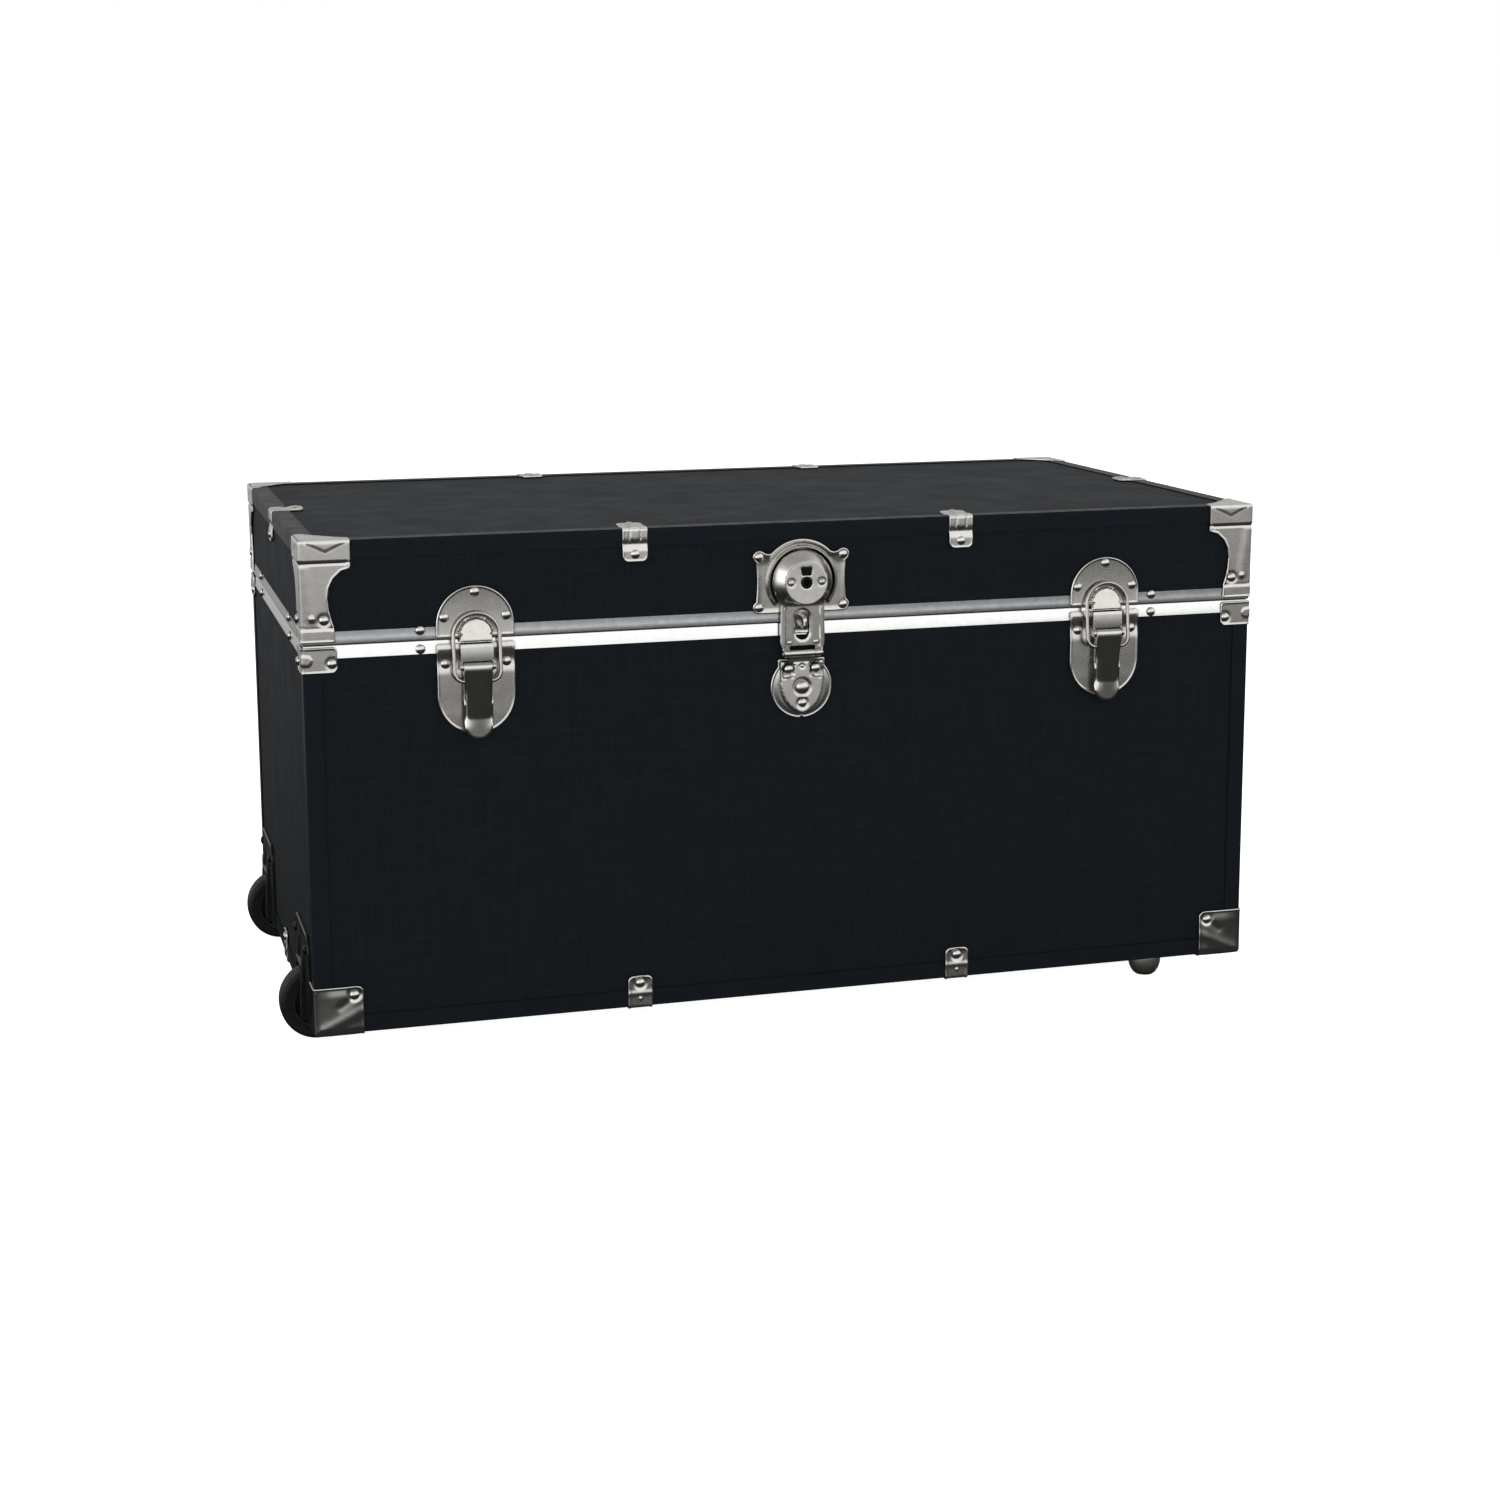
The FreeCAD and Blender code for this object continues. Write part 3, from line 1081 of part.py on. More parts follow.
def build():
    body = body_nodes()
    body["body_bottom_panel"] = body["body_bottom_panel"].cut(glide_screw_holes())
    nodes = drilled(body, body_trim_rivets() + body_hardware_rivets())
    nodes.update(drilled(lid_nodes(), lid_trim_rivets() + lid_hardware_rivets()))
    nodes["body_trim_rivets"] = group([rivet(*spot) for spot in body_trim_rivets()])
    nodes["body_hardware_rivets"] = group([rivet(*spot) for spot in body_hardware_rivets()])
    nodes["lid_trim_rivets"] = group([rivet(*spot) for spot in lid_trim_rivets()])
    nodes["lid_hardware_rivets"] = group([rivet(*spot) for spot in lid_hardware_rivets()])
    nodes["glide_screws"] = group([glide_screw(y) for y in GLIDE_Y])
    nodes["latch_pins"] = group([latch_pin(x) for x in (-LATCH_X, LATCH_X)])
    nodes["hinge_pins"] = group([hinge_pin(x) for x in (-HINGE_X, HINGE_X)])
    nodes["hasp_pin"] = hasp_pin()
    nodes["padlock_staple"] = padlock_staple()
    for name, x in (("left", -LATCH_X), ("right", LATCH_X)):
        nodes["latch_lever_" + name] = latch_lever(x)
        nodes["latch_bail_" + name] = latch_bail(x)
    nodes["hasp"] = hasp()
    nodes["hasp_face"] = hasp_face()
    nodes["lock_plug"] = lock_plug()
    nodes["lock_bolt"] = lock_bolt()
    for name, y in zip(("front", "rear"), WHEEL_Y):
        nodes["wheel_axle_" + name] = wheel_axle(y)
        nodes["wheel_hub_" + name] = wheel_hub(y)
        nodes["wheel_tyre_" + name] = wheel_tyre(y)
    nodes["handle_rod"] = handle_rod()
    nodes["handle_grip"] = handle_grip()
    return nodes


def main():
    os.makedirs("parts", exist_ok=True)
    for name, shape in build().items():
        solids = shape.Solids
        flat = group(solids) if len(solids) > 1 else solids[0]
        flat.exportStep(os.path.join("parts", name + ".step"))
        print(f"{name}: {len(solids)} solids, {flat.Volume / 1000:.2f} cm3, valid {flat.isValid()}")


main()
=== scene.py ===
"""Looks of the wheeled footlocker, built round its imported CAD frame.

Blender's unit is the metre. Shapes are drawn in millimetres and scaled by MM as they are placed: on the
front of the case a is the distance to the right, b the height above the case's underside and w the
distance out of the case plane.
"""
import bpy
import bmesh
import json
import math
import numpy as np
from mathutils import Matrix, Vector
from mathutils.geometry import delaunay_2d_cdt


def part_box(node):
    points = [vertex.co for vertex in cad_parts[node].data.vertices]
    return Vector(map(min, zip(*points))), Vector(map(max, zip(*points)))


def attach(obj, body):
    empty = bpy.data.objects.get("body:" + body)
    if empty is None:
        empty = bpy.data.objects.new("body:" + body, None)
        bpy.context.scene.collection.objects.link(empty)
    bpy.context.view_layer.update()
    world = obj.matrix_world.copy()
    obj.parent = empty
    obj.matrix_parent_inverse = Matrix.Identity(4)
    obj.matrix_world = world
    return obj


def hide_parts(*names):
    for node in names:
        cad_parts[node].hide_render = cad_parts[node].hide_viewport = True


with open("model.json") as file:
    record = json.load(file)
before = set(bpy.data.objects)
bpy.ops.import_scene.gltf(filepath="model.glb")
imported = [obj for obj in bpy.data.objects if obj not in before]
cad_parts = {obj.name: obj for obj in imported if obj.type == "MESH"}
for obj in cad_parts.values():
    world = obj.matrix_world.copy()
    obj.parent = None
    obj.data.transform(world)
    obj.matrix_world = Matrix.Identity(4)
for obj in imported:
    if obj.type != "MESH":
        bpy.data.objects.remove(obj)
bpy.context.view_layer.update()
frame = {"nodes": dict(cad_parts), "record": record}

MM = 0.001
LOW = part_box("body_binding")[0]
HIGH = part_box("lid_binding")[1]


# ------------------------------------------------------------ outlines

def arc(a, b, radius, start, end, step=6.0):
    """Points of an arc about (a, b), from one angle in degrees to another."""
    count = max(2, math.ceil(abs(end - start) / step))
    turns = [math.radians(start + (end - start) * i / count) for i in range(count + 1)]
    return [(a + radius * math.cos(t), b + radius * math.sin(t)) for t in turns]


def rounded(corners, steps=5):
    """Closed outline from corners (a, b) or (a, b, radius)."""
    made = []
    for i, corner in enumerate(corners):
        here = Vector(corner[:2])
        radius = corner[2] if len(corner) > 2 else 0
        if not radius:
            made.append(tuple(here))
            continue
        back = (Vector(corners[i - 1][:2]) - here).normalized()
        ahead = (Vector(corners[(i + 1) % len(corners)][:2]) - here).normalized()
        half = back.angle(ahead) / 2
        centre = here + (back + ahead).normalized() * (radius / math.sin(half))
        first = here + back * (radius / math.tan(half)) - centre
        last = here + ahead * (radius / math.tan(half)) - centre
        turn = first.angle_signed(last)
        for k in range(steps + 1):
            made.append(tuple(centre + Matrix.Rotation(-turn * k / steps, 2) @ first))
    return made


def divided(outline, spacing):
    """The closed outline with no edge longer than spacing."""
    made = []
    for p, q in sides_of(outline):
        count = max(1, math.ceil(math.dist(p, q) / spacing - 1e-6))
        made += [(p[0] + (q[0] - p[0]) * k / count, p[1] + (q[1] - p[1]) * k / count) for k in range(count)]
    return made


def mirrored(half):
    """Closed outline from its right half, which runs from the bottom to the top of the axis a = 0."""
    return half + [(-a, b) for a, b in reversed(half) if a > 1e-6]


def sides_of(outline):
    return list(zip(outline, outline[1:] + outline[:1]))


def turned_left(outline):
    """The outline, anticlockwise."""
    area = sum(p[0] * q[1] - q[0] * p[1] for p, q in sides_of(outline))
    return outline if area > 0 else outline[::-1]


NEARLY_STRAIGHT = 0.05


def inset(points, offsets):
    """Moves each edge of an anticlockwise outline inward by its own offset."""
    made = []
    count = len(points)
    for i in range(count):
        p, q, r = (Vector(points[k % count]) for k in (i - 1, i, i + 1))
        d0 = (q - p).normalized()
        d1 = (r - q).normalized()
        n0, n1 = Vector((-d0.y, d0.x)), Vector((-d1.y, d1.x))
        e0, e1 = offsets[i - 1], offsets[i]
        cross = n0.x * n1.y - n0.y * n1.x
        if abs(cross) < NEARLY_STRAIGHT:
            step = (n0 + n1).normalized() * (e0 + e1) / 2
        else:
            step = Vector((e0 * n1.y - e1 * n0.y, n0.x * e1 - n1.x * e0)) / cross
        made.append(tuple(q + step))
    return made


def inside(points, ring):
    """Which of the points lie inside a closed outline."""
    found = np.zeros(len(points), bool)
    x, y = points[:, 0], points[:, 1]
    for (ax, ay), (bx, by) in sides_of(ring):
        spans = (ay > y) != (by > y)
        if ay != by:
            found ^= spans & (x < ax + (y - ay) * (bx - ax) / (by - ay))
    return found


def gaps_to(points, edges):
    """Distance from each of the points to the nearest of the edges (p, q)."""
    gaps = np.full(len(points), np.inf)
    for p, q in edges:
        p, d = np.array(p), np.array(q) - np.array(p)
        t = np.clip(((points - p) @ d) / max(d @ d, 1e-12), 0, 1)
        gaps = np.minimum(gaps, np.hypot(*(points - p - t[:, None] * d).T))
    return gaps


def depth_in(ring):
    """A function of (a, b): how far inside a closed outline it is, or minus how far outside."""
    edges = sides_of(ring)

    def depth(a, b):
        spot = np.array([[a, b]])
        gap = gaps_to(spot, edges)[0]
        return gap if inside(spot, ring)[0] else -gap
    return depth


# ------------------------------------------------------------ pressed sheet metal

# rings of points that round a free edge: how far in and how far down, as shares of the rounding
EDGE_SHARES = ((0.0, 1.0), (0.3, 0.29), (1.0, 0.0))
# further rings, for a raised border: how far in from the rounded edges and from the folds
BORDER_STEPS = ((0.45, 0.5), (1.35, 1.0), (2.2, 1.5))
ROW_SHARE = 0.866           # height of an equilateral triangle
CLEAR_SHARE = 0.45          # grid points keep this share of the spacing away from the rings
SAME = 1e-6


def grid_over(outline, spacing):
    """Points of a triangular grid over an outline's box."""
    low, high = np.min(np.array(outline), axis=0), np.max(np.array(outline), axis=0)
    rows = np.arange(low[1], high[1], spacing * ROW_SHARE)
    return np.array([(a + (k % 2) * spacing / 2, b) for k, b in enumerate(rows)
                     for a in np.arange(low[0], high[0], spacing)])


def within(spots, outer, holes):
    """Which of the spots lie inside an outline but in none of its holes."""
    found = inside(spots, outer)
    for hole in holes:
        found &= ~inside(spots, hole)
    return found


def sheet(outline, spacing, edge=0.35, folds=(), holes=(), lines=()):
    """Triangulates a flat region: points (a, b, drop, gap to the free edge), triangles and free edges.

    Free edges are rounded over a width of edge. folds lists (axis, value) of straight edges that carry on
    into another sheet. lines are closed outlines that points must follow, where the shape has a step."""
    def on_fold(p, q):
        return any(abs(p[axis] - value) < SAME and abs(q[axis] - value) < SAME for axis, value in folds)

    def moved_in(loop, free, fold):
        return inset(loop, [fold if on_fold(p, q) else free for p, q in sides_of(loop)])

    outer = turned_left(divided(outline, spacing))
    loops = [outer] + [turned_left(divided(hole, spacing))[::-1] for hole in holes]
    rings = [(moved_in(loop, edge * share, 0.0) if share else loop, drop * edge)
             for loop in loops for share, drop in EDGE_SHARES]
    flat_from = [ring for ring, drop in rings[len(EDGE_SHARES) - 1::len(EDGE_SHARES)]]
    guides = [moved_in(outer, edge + step, fold) for step, fold in BORDER_STEPS]
    guides += [turned_left(divided(line, spacing)) for line in lines]

    grid = grid_over(outer, spacing)
    keep = within(grid, flat_from[0], flat_from[1:])
    for ring in flat_from + guides:
        keep &= gaps_to(grid, sides_of(ring)) > spacing * CLEAR_SHARE
    points, drops, edges = [], [], []
    for ring, drop in rings + [(guide, 0.0) for guide in guides]:
        start = len(points)
        points += ring
        drops += [drop] * len(ring)
        edges += [(start + k, start + (k + 1) % len(ring)) for k in range(len(ring))]
    points += [tuple(p) for p in grid[keep]]
    drops += [0.0] * int(keep.sum())

    made = delaunay_2d_cdt([Vector(p) for p in points], edges, [], 0, 1e-5)
    flat, triangles, origins = made[0], made[2], made[3]
    drop_of = [max((drops[k] for k in origin), default=0.0) for origin in origins]
    centres = np.array([sum((flat[k] for k in t), Vector((0, 0))) / 3 for t in triangles])
    triangles = [t for t, kept in zip(triangles, within(centres, outer, loops[1:])) if kept]
    used = [side for t in triangles for side in sides_of(t)]
    known = set(used)
    rim = [(p, q) for p, q in used if (q, p) not in known and not on_fold(flat[p], flat[q])]
    free = [side for side in sides_of(outer) if not on_fold(*side)]
    gaps = gaps_to(np.array([tuple(p) for p in flat]), free)
    return [(p.x, p.y, d, g) for p, d, g in zip(flat, drop_of, gaps)], triangles, rim


THINNEST = 0.01


def press(mesh, flat, place, front, back):
    """Adds a sheet to a mesh. front(a, b, gap) and back(a, b) are the heights of its two faces."""
    points, triangles, rim = flat
    used = sorted({k for t in triangles for k in t})
    face, under = {}, {}
    for k in used:
        a, b, drop, gap = points[k]
        top, low = front(a, b, gap) - drop, back(a, b)
        face[k] = mesh.verts.new(place(a, b, max(top, low + THINNEST)))
        under[k] = mesh.verts.new(place(a, b, low))
    for t in triangles:
        mesh.faces.new([face[k] for k in t])
        mesh.faces.new([under[k] for k in reversed(t)])
    for p, q in rim:
        mesh.faces.new((face[q], face[p], under[p], under[q]))


def turn(mesh, profile, place, centre=(0.0, 0.0), sides=48):
    """Adds a solid of revolution about centre: profile is (radius, w), where w may depend on (a, b)."""
    def spot(radius, angle, w):
        a, b = centre[0] + radius * math.cos(angle), centre[1] + radius * math.sin(angle)
        return mesh.verts.new(place(a, b, w(a, b) if callable(w) else w))

    angles = [2 * math.pi * k / sides for k in range(sides)]
    rings = [[spot(radius, t, w) for t in (angles if radius > SAME else [0.0])] for radius, w in profile]
    for one, two in zip(rings, rings[1:]):
        for k in range(sides):
            n = (k + 1) % sides
            if len(one) == 1:
                mesh.faces.new((one[0], two[k], two[n]))
            elif len(two) == 1:
                mesh.faces.new((one[k], one[n], two[0]))
            else:
                mesh.faces.new((one[k], one[n], two[n], two[k]))
    if len(rings[0]) > 1 and len(rings[-1]) > 1:
        for k in range(sides):
            n = (k + 1) % sides
            mesh.faces.new((rings[-1][k], rings[-1][n], rings[0][n], rings[0][k]))


STUD_SUNK = 0.9


def stud(mesh, place, centre, foot, radius, rise, sides=24):
    """Adds a domed stud on a plate: foot is the height of the plate there."""
    dome = [(radius * math.sin(t), foot + rise * math.cos(t)) for t in (k * math.pi / 16 for k in range(9))]
    turn(mesh, dome + [(radius, foot - STUD_SUNK), (0, foot - STUD_SUNK)], place, centre, sides)


def bent(points, radii, steps=8):
    """A path through 3-D points with its inner corners rounded to radii."""
    made = [Vector(points[0])]
    for before, corner, after, radius in zip(points, points[1:], points[2:], radii):
        before, corner, after = Vector(before), Vector(corner), Vector(after)
        back, ahead = (before - corner).normalized(), (after - corner).normalized()
        half = back.angle(ahead) / 2
        reach = radius / math.tan(half)
        centre = corner + (back + ahead).normalized() * (radius / math.sin(half))
        first, last = corner + back * reach - centre, corner + ahead * reach - centre
        spin = first.rotation_difference(last)
        for k in range(steps + 1):
            part = spin.copy()
            part.angle = spin.angle * k / steps
            made.append(centre + part @ first)
    made.append(Vector(points[-1]))
    return made


def joined(mesh, rings):
    """Closes a skin over rings of vertices, with a face at each end."""
    for one, two in zip(rings, rings[1:]):
        for (p, q), (r, s) in zip(sides_of(one), sides_of(two)):
            mesh.faces.new((p, q, s, r))
    mesh.faces.new(rings[0][::-1])
    mesh.faces.new(rings[-1])


def tube(mesh, path, radius, sides=16):
    """Adds a round wire along a path, with its ends closed."""
    side = None
    rings = []
    for k, here in enumerate(path):
        ahead = (path[min(k + 1, len(path) - 1)] - path[max(k - 1, 0)]).normalized()
        if side is None:
            side = ahead.orthogonal().normalized()
        side = (side - ahead * side.dot(ahead)).normalized()
        up = ahead.cross(side)
        rings.append([mesh.verts.new(here + (side * math.cos(t) + up * math.sin(t)) * radius)
                      for t in (2 * math.pi * n / sides for n in range(sides))])
    joined(mesh, rings)


def piece(name, mesh, material, body, replaces=(), sharp=32, second=None):
    """Finishes a bmesh as a named object that rides on a body and stands for CAD nodes."""
    bmesh.ops.remove_doubles(mesh, verts=mesh.verts, dist=2e-7)
    bmesh.ops.recalc_face_normals(mesh, faces=mesh.faces)
    data = bpy.data.meshes.new(name)
    mesh.to_mesh(data)
    mesh.free()
    data.shade_smooth()
    data.set_sharp_from_angle(angle=math.radians(sharp))
    data.materials.append(material)
    if second:
        data.materials.append(second)
    made = bpy.data.objects.new(name, data)
    bpy.context.scene.collection.objects.link(made)
    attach(made, body)
    if replaces:
        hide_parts(*replaces)
    return made


# ------------------------------------------------------------ places

def on_front(x=0.0):
    """Places hardware on the front of the case, with its own middle at x metres."""
    return lambda a, b, w: Vector((x + a * MM, LOW.y - w * MM, LOW.z + b * MM))


def corner_place(ends, radius, middle=0.0):
    """Places points on a corner or an edge of the case that is rounded to radius.

    ends says which end of X, Y and Z it is at: 0 for the low end, 1 for the high one, and None along an
    edge, where distances are from middle. A point is given by its distances in from the corner along X,
    Y and Z, of which one is 0, and by w out of it."""
    corner = Vector((middle if end is None else (LOW, HIGH)[end][axis]) for axis, end in enumerate(ends))
    signs = [1 if end is None else 1 - 2 * end for end in ends]

    def place(inward, w):
        core = [d if end is None else max(d, radius) for d, end in zip(inward, ends)]
        away = Vector(d - c for d, c in zip(inward, core)).normalized()
        at = [(c + n * (radius + w)) * s * MM for c, n, s in zip(core, away, signs)]
        return corner + Vector(at)
    return place


def solids(node):
    """Boxes (low, high) of the separate solids in a CAD node."""
    data = frame["nodes"][node].data
    spots = np.empty(len(data.vertices) * 3)
    data.vertices.foreach_get("co", spots)
    spots = spots.reshape(-1, 3)
    kept, same = np.unique(np.round(spots, 6), axis=0, return_inverse=True)
    links = np.empty(len(data.edges) * 2, int)
    data.edges.foreach_get("vertices", links)
    links = same.ravel()[links].reshape(-1, 2)
    label = np.arange(len(kept))
    while True:
        low = label.copy()
        np.minimum.at(low, links[:, 0], label[links[:, 1]])
        np.minimum.at(low, links[:, 1], label[links[:, 0]])
        low = low[low]
        if (low == label).all():
            break
        label = low
    return [(Vector(kept[label == k].min(0)), Vector(kept[label == k].max(0))) for k in np.unique(label)]


def smooth(t):
    t = min(1.0, max(0.0, t))
    return t * t * (3 - 2 * t)


def bump(distance, reach):
    """1 at a distance of 0, falling smoothly to 0 at reach."""
    return 1 - smooth(distance / reach)


def border(gap, rise=0.3, away=0.8):
    """Raised border of a plate, at a gap from its free edge."""
    return rise * bump(abs(gap - away), away)


def well(a, b, centre, radius, fade, depth):
    """Dish in a plate, flat out to a radius from its centre and fading beyond."""
    return -depth * bump(max(0.0, math.dist((a, b), centre) - radius), fade)


def ball(a, b, centre, radius, rise):
    """Small round lump on a plate."""
    return rise * math.sqrt(max(0.0, 1 - (math.dist((a, b), centre) / radius) ** 2))


def bulge(distance, width):
    """1 at a distance of 0, with the soft flanks of a bell curve."""
    return math.exp(-(distance / width) ** 2)


def to_segment(a, b, p, q):
    """Distance from (a, b) to the segment from p to q."""
    dx, dy = q[0] - p[0], q[1] - p[1]
    t = min(1.0, max(0.0, ((a - p[0]) * dx + (b - p[1]) * dy) / (dx * dx + dy * dy)))
    return math.hypot(a - p[0] - t * dx, b - p[1] - t * dy)


# ------------------------------------------------------------ materials

def node(tree, kind, links=None, **settings):
    """Adds a shader node; links gives its inputs, as sockets to join or as values."""
    made = tree.nodes.new("ShaderNode" + kind)
    for key, value in settings.items():
        setattr(made, key, value)
    for key, value in (links or {}).items():
        if isinstance(value, bpy.types.NodeSocket):
            tree.links.new(value, made.inputs[key])
        else:
            made.inputs[key].default_value = value
    return made


def new_material(name, **fixed):
    """A material with a Principled shader whose named sockets are set to constants."""
    made = bpy.data.materials.new(name)
    made.use_nodes = True
    tree = made.node_tree
    shader = tree.nodes["Principled BSDF"]
    for key, value in fixed.items():
        shader.inputs[key.replace("_", " ")].default_value = value
    return made, tree, shader


def object_place(tree, scale=(1.0, 1.0, 1.0)):
    """Coordinates fixed to the piece, stretched by scale."""
    coords = node(tree, "TexCoord").outputs["Object"]
    return node(tree, "Mapping", {"Vector": coords, "Scale": scale}).outputs["Vector"]


def along(axis, share):
    """A scale that stretches a pattern along one axis."""
    return [share if k == axis else 1.0 for k in range(3)]


def noise(tree, size, detail=2.0, stretch=(1.0, 1.0, 1.0)):
    """Noise from 0 to 1 whose lumps are about size metres across."""
    return node(tree, "TexNoise", {"Vector": object_place(tree, stretch), "Scale": 1.0 / size,
                                   "Detail": detail, "Roughness": 0.5}).outputs[0]


def spread(tree, value, low, high, start=0.3, end=0.7):
    """A value between low and high as the input goes from start to end."""
    return node(tree, "MapRange", {0: value, 1: start, 2: end, 3: low, 4: high}).outputs[0]


def tint(tree, factor, dark, light):
    mixed = node(tree, "Mix", {"Factor": factor, "A": (*dark, 1.0), "B": (*light, 1.0)}, data_type="RGBA")
    return mixed.outputs["Result"]


def combine(tree, kind, first, *others):
    """The first value combined with each of the others in turn."""
    for other in others:
        first = node(tree, "Math", {0: first, 1: other}, operation=kind).outputs[0]
    return first


def relief(tree, shader, height, depth, strength=1.0):
    made = node(tree, "Bump", {"Height": height, "Distance": depth, "Strength": strength})
    tree.links.new(made.outputs["Normal"], shader.inputs["Normal"])


def weave(tree, pitch):
    """Woven grain: threads along X, Y and Z, of which each flat face shows two."""
    threads = []
    for axis in "XYZ":
        wave = node(tree, "TexWave", {"Vector": object_place(tree), "Scale": math.pi / 10 / pitch,
                                      "Distortion": 1.2, "Detail": 1.0, "Detail Scale": 0.6},
                    wave_type="BANDS", bands_direction=axis)
        threads.append(wave.outputs["Fac"])
    return combine(tree, "ADD", *threads)


def slubs(tree, width, length):
    """Uneven threads: streaks along each of X, Y and Z."""
    streaks = [noise(tree, width, 1.0, along(axis, width / length)) for axis in range(3)]
    return combine(tree, "DIVIDE", combine(tree, "ADD", *streaks), 3.0)


COVERING = 3.5 * MM         # depth at which a panel's covering gives way to its lining


def within_case(tree):
    """1 inside the case, behind the outer covering of its panels, and 0 outside."""
    place = node(tree, "SeparateXYZ", {0: node(tree, "TexCoord").outputs["Object"]})
    near = []
    for axis in range(3):
        off = combine(tree, "SUBTRACT", place.outputs[axis], (LOW[axis] + HIGH[axis]) / 2)
        away = node(tree, "Math", {0: off}, operation="ABSOLUTE").outputs[0]
        near.append(combine(tree, "LESS_THAN", away, (HIGH[axis] - LOW[axis]) / 2 - COVERING))
    return combine(tree, "MULTIPLY", *near)


COOL_SHEEN = (0.78, 0.92, 1.0, 1.0)


def vinyl():
    """Black linen-grained vinyl outside and pale paper lining inside."""
    made, tree, shader = new_material("linen_vinyl", Specular_IOR_Level=0.09, IOR=1.5,
                                      Specular_Tint=COOL_SHEEN)
    uneven = combine(tree, "MULTIPLY", slubs(tree, 0.0009, 0.02), 2.2)
    grain = combine(tree, "ADD", weave(tree, 0.0011), uneven)
    mottle = noise(tree, 0.035, 3.0)
    cloth = tint(tree, spread(tree, slubs(tree, 0.0012, 0.03), 0.0, 1.0, 0.35, 0.65),
                 (0.0030, 0.0038, 0.0052), (0.0054, 0.0066, 0.0086))
    lint = spread(tree, noise(tree, 0.002, 4.0), 0.0, 1.0)
    fibre = tint(tree, lint, (0.50, 0.47, 0.41), (0.60, 0.57, 0.51))
    lined = within_case(tree)
    skin = node(tree, "Mix", {"Factor": lined, "A": cloth, "B": fibre}, data_type="RGBA").outputs["Result"]
    tree.links.new(skin, shader.inputs["Base Color"])
    gloss = spread(tree, mottle, 0.52, 0.60)
    rough = node(tree, "Mix", {"Factor": lined, "A": gloss, "B": 0.85}).outputs["Result"]
    tree.links.new(rough, shader.inputs["Roughness"])
    relief(tree, shader, grain, 0.00008, 0.7)
    return made


def edge_binding():
    """Smooth black binding strip, folded over the case's edges."""
    made, tree, shader = new_material("binding_strip", Specular_IOR_Level=0.075, IOR=1.5,
                                      Specular_Tint=COOL_SHEEN)
    colour = tint(tree, noise(tree, 0.02, 3.0), (0.0036, 0.0045, 0.0062), (0.0058, 0.0070, 0.0092))
    tree.links.new(colour, shader.inputs["Base Color"])
    tree.links.new(spread(tree, noise(tree, 0.012, 3.0), 0.34, 0.44), shader.inputs["Roughness"])
    relief(tree, shader, noise(tree, 0.0016, 3.0), 0.00005, 0.35)
    return made


# reach of the painted shade that ambient occlusion lays into the metal's crevices
CREVICE_SHADE_REACH = 3.5 * MM


def metal(name, dark, light, gloss, ripple=0.06, brushed=None):
    """Plated metal: mottled tone and gloss, painted shade that darkens its crevices and where it meets other
    parts, the faint ripple of pressed sheet, and brush lines along an axis."""
    made, tree, shader = new_material(name, Metallic=1.0)
    tone = spread(tree, noise(tree, 0.006, 4.0), 0.0, 1.0)
    # painted shade: ambient occlusion darkens the plating in crevices and next to other parts, standing in
    # for their shadows
    hollow = node(tree, "AmbientOcclusion", {"Distance": CREVICE_SHADE_REACH}, samples=6).outputs["AO"]
    painted_crevice_shade = tint(tree, spread(tree, hollow, 0.0, 1.0, 0.25, 0.85), (0.12, 0.11, 0.09), (1.0, 1.0, 1.0))
    plating = node(tree, "Mix", {"Factor": 1.0, "A": tint(tree, tone, dark, light), "B": painted_crevice_shade},
                   data_type="RGBA", blend_type="MULTIPLY").outputs["Result"]
    tree.links.new(plating, shader.inputs["Base Color"])
    speck = noise(tree, 0.0011, 3.0) if brushed is None else noise(tree, 0.0005, 3.0, along(brushed, 0.02))
    tree.links.new(spread(tree, speck, *gloss), shader.inputs["Roughness"])
    relief(tree, shader, noise(tree, 0.009, 1.0), 0.0006, ripple)
    return made


def plastic(name, dark, light, gloss, grain, depth, specular=0.5):
    """Moulded black plastic or rubber with a fine grain."""
    made, tree, shader = new_material(name, Specular_IOR_Level=specular, IOR=1.5)
    tree.links.new(tint(tree, noise(tree, grain * 12, 2.0), dark, light), shader.inputs["Base Color"])
    tree.links.new(spread(tree, noise(tree, grain * 5, 2.0), *gloss), shader.inputs["Roughness"])
    relief(tree, shader, noise(tree, grain, 2.0), depth, 0.5)
    return made


VINYL = vinyl()
BINDING = edge_binding()
NICKEL = (0.60, 0.585, 0.555), (0.66, 0.645, 0.615)
SATIN = metal("satin_nickel", *NICKEL, (0.22, 0.28))
LOCK_SATIN = metal("lock_nickel", *NICKEL, (0.20, 0.26))
FACE_SATIN = metal("lock_face_nickel", (0.60, 0.585, 0.555), (0.68, 0.665, 0.635), (0.30, 0.40), 0.05)
# painted shade: the bail wire is the same nickel as the other hardware, given a darker base colour so that it
# reads darker
WIRE = metal("wire_nickel", (0.42, 0.405, 0.375), (0.48, 0.465, 0.435), (0.14, 0.20), 0.03)
POLISHED = metal("polished_nickel", (0.58, 0.57, 0.54), (0.64, 0.63, 0.60), (0.06, 0.11), 0.05)
RIVET_METAL = metal("rivet_nickel", (0.60, 0.59, 0.56), (0.66, 0.65, 0.62), (0.12, 0.18), 0.03)
BODY_STRIP = metal("body_rim_steel", (0.80, 0.80, 0.79), (0.86, 0.86, 0.85), (0.12, 0.20), 0.04, 0)
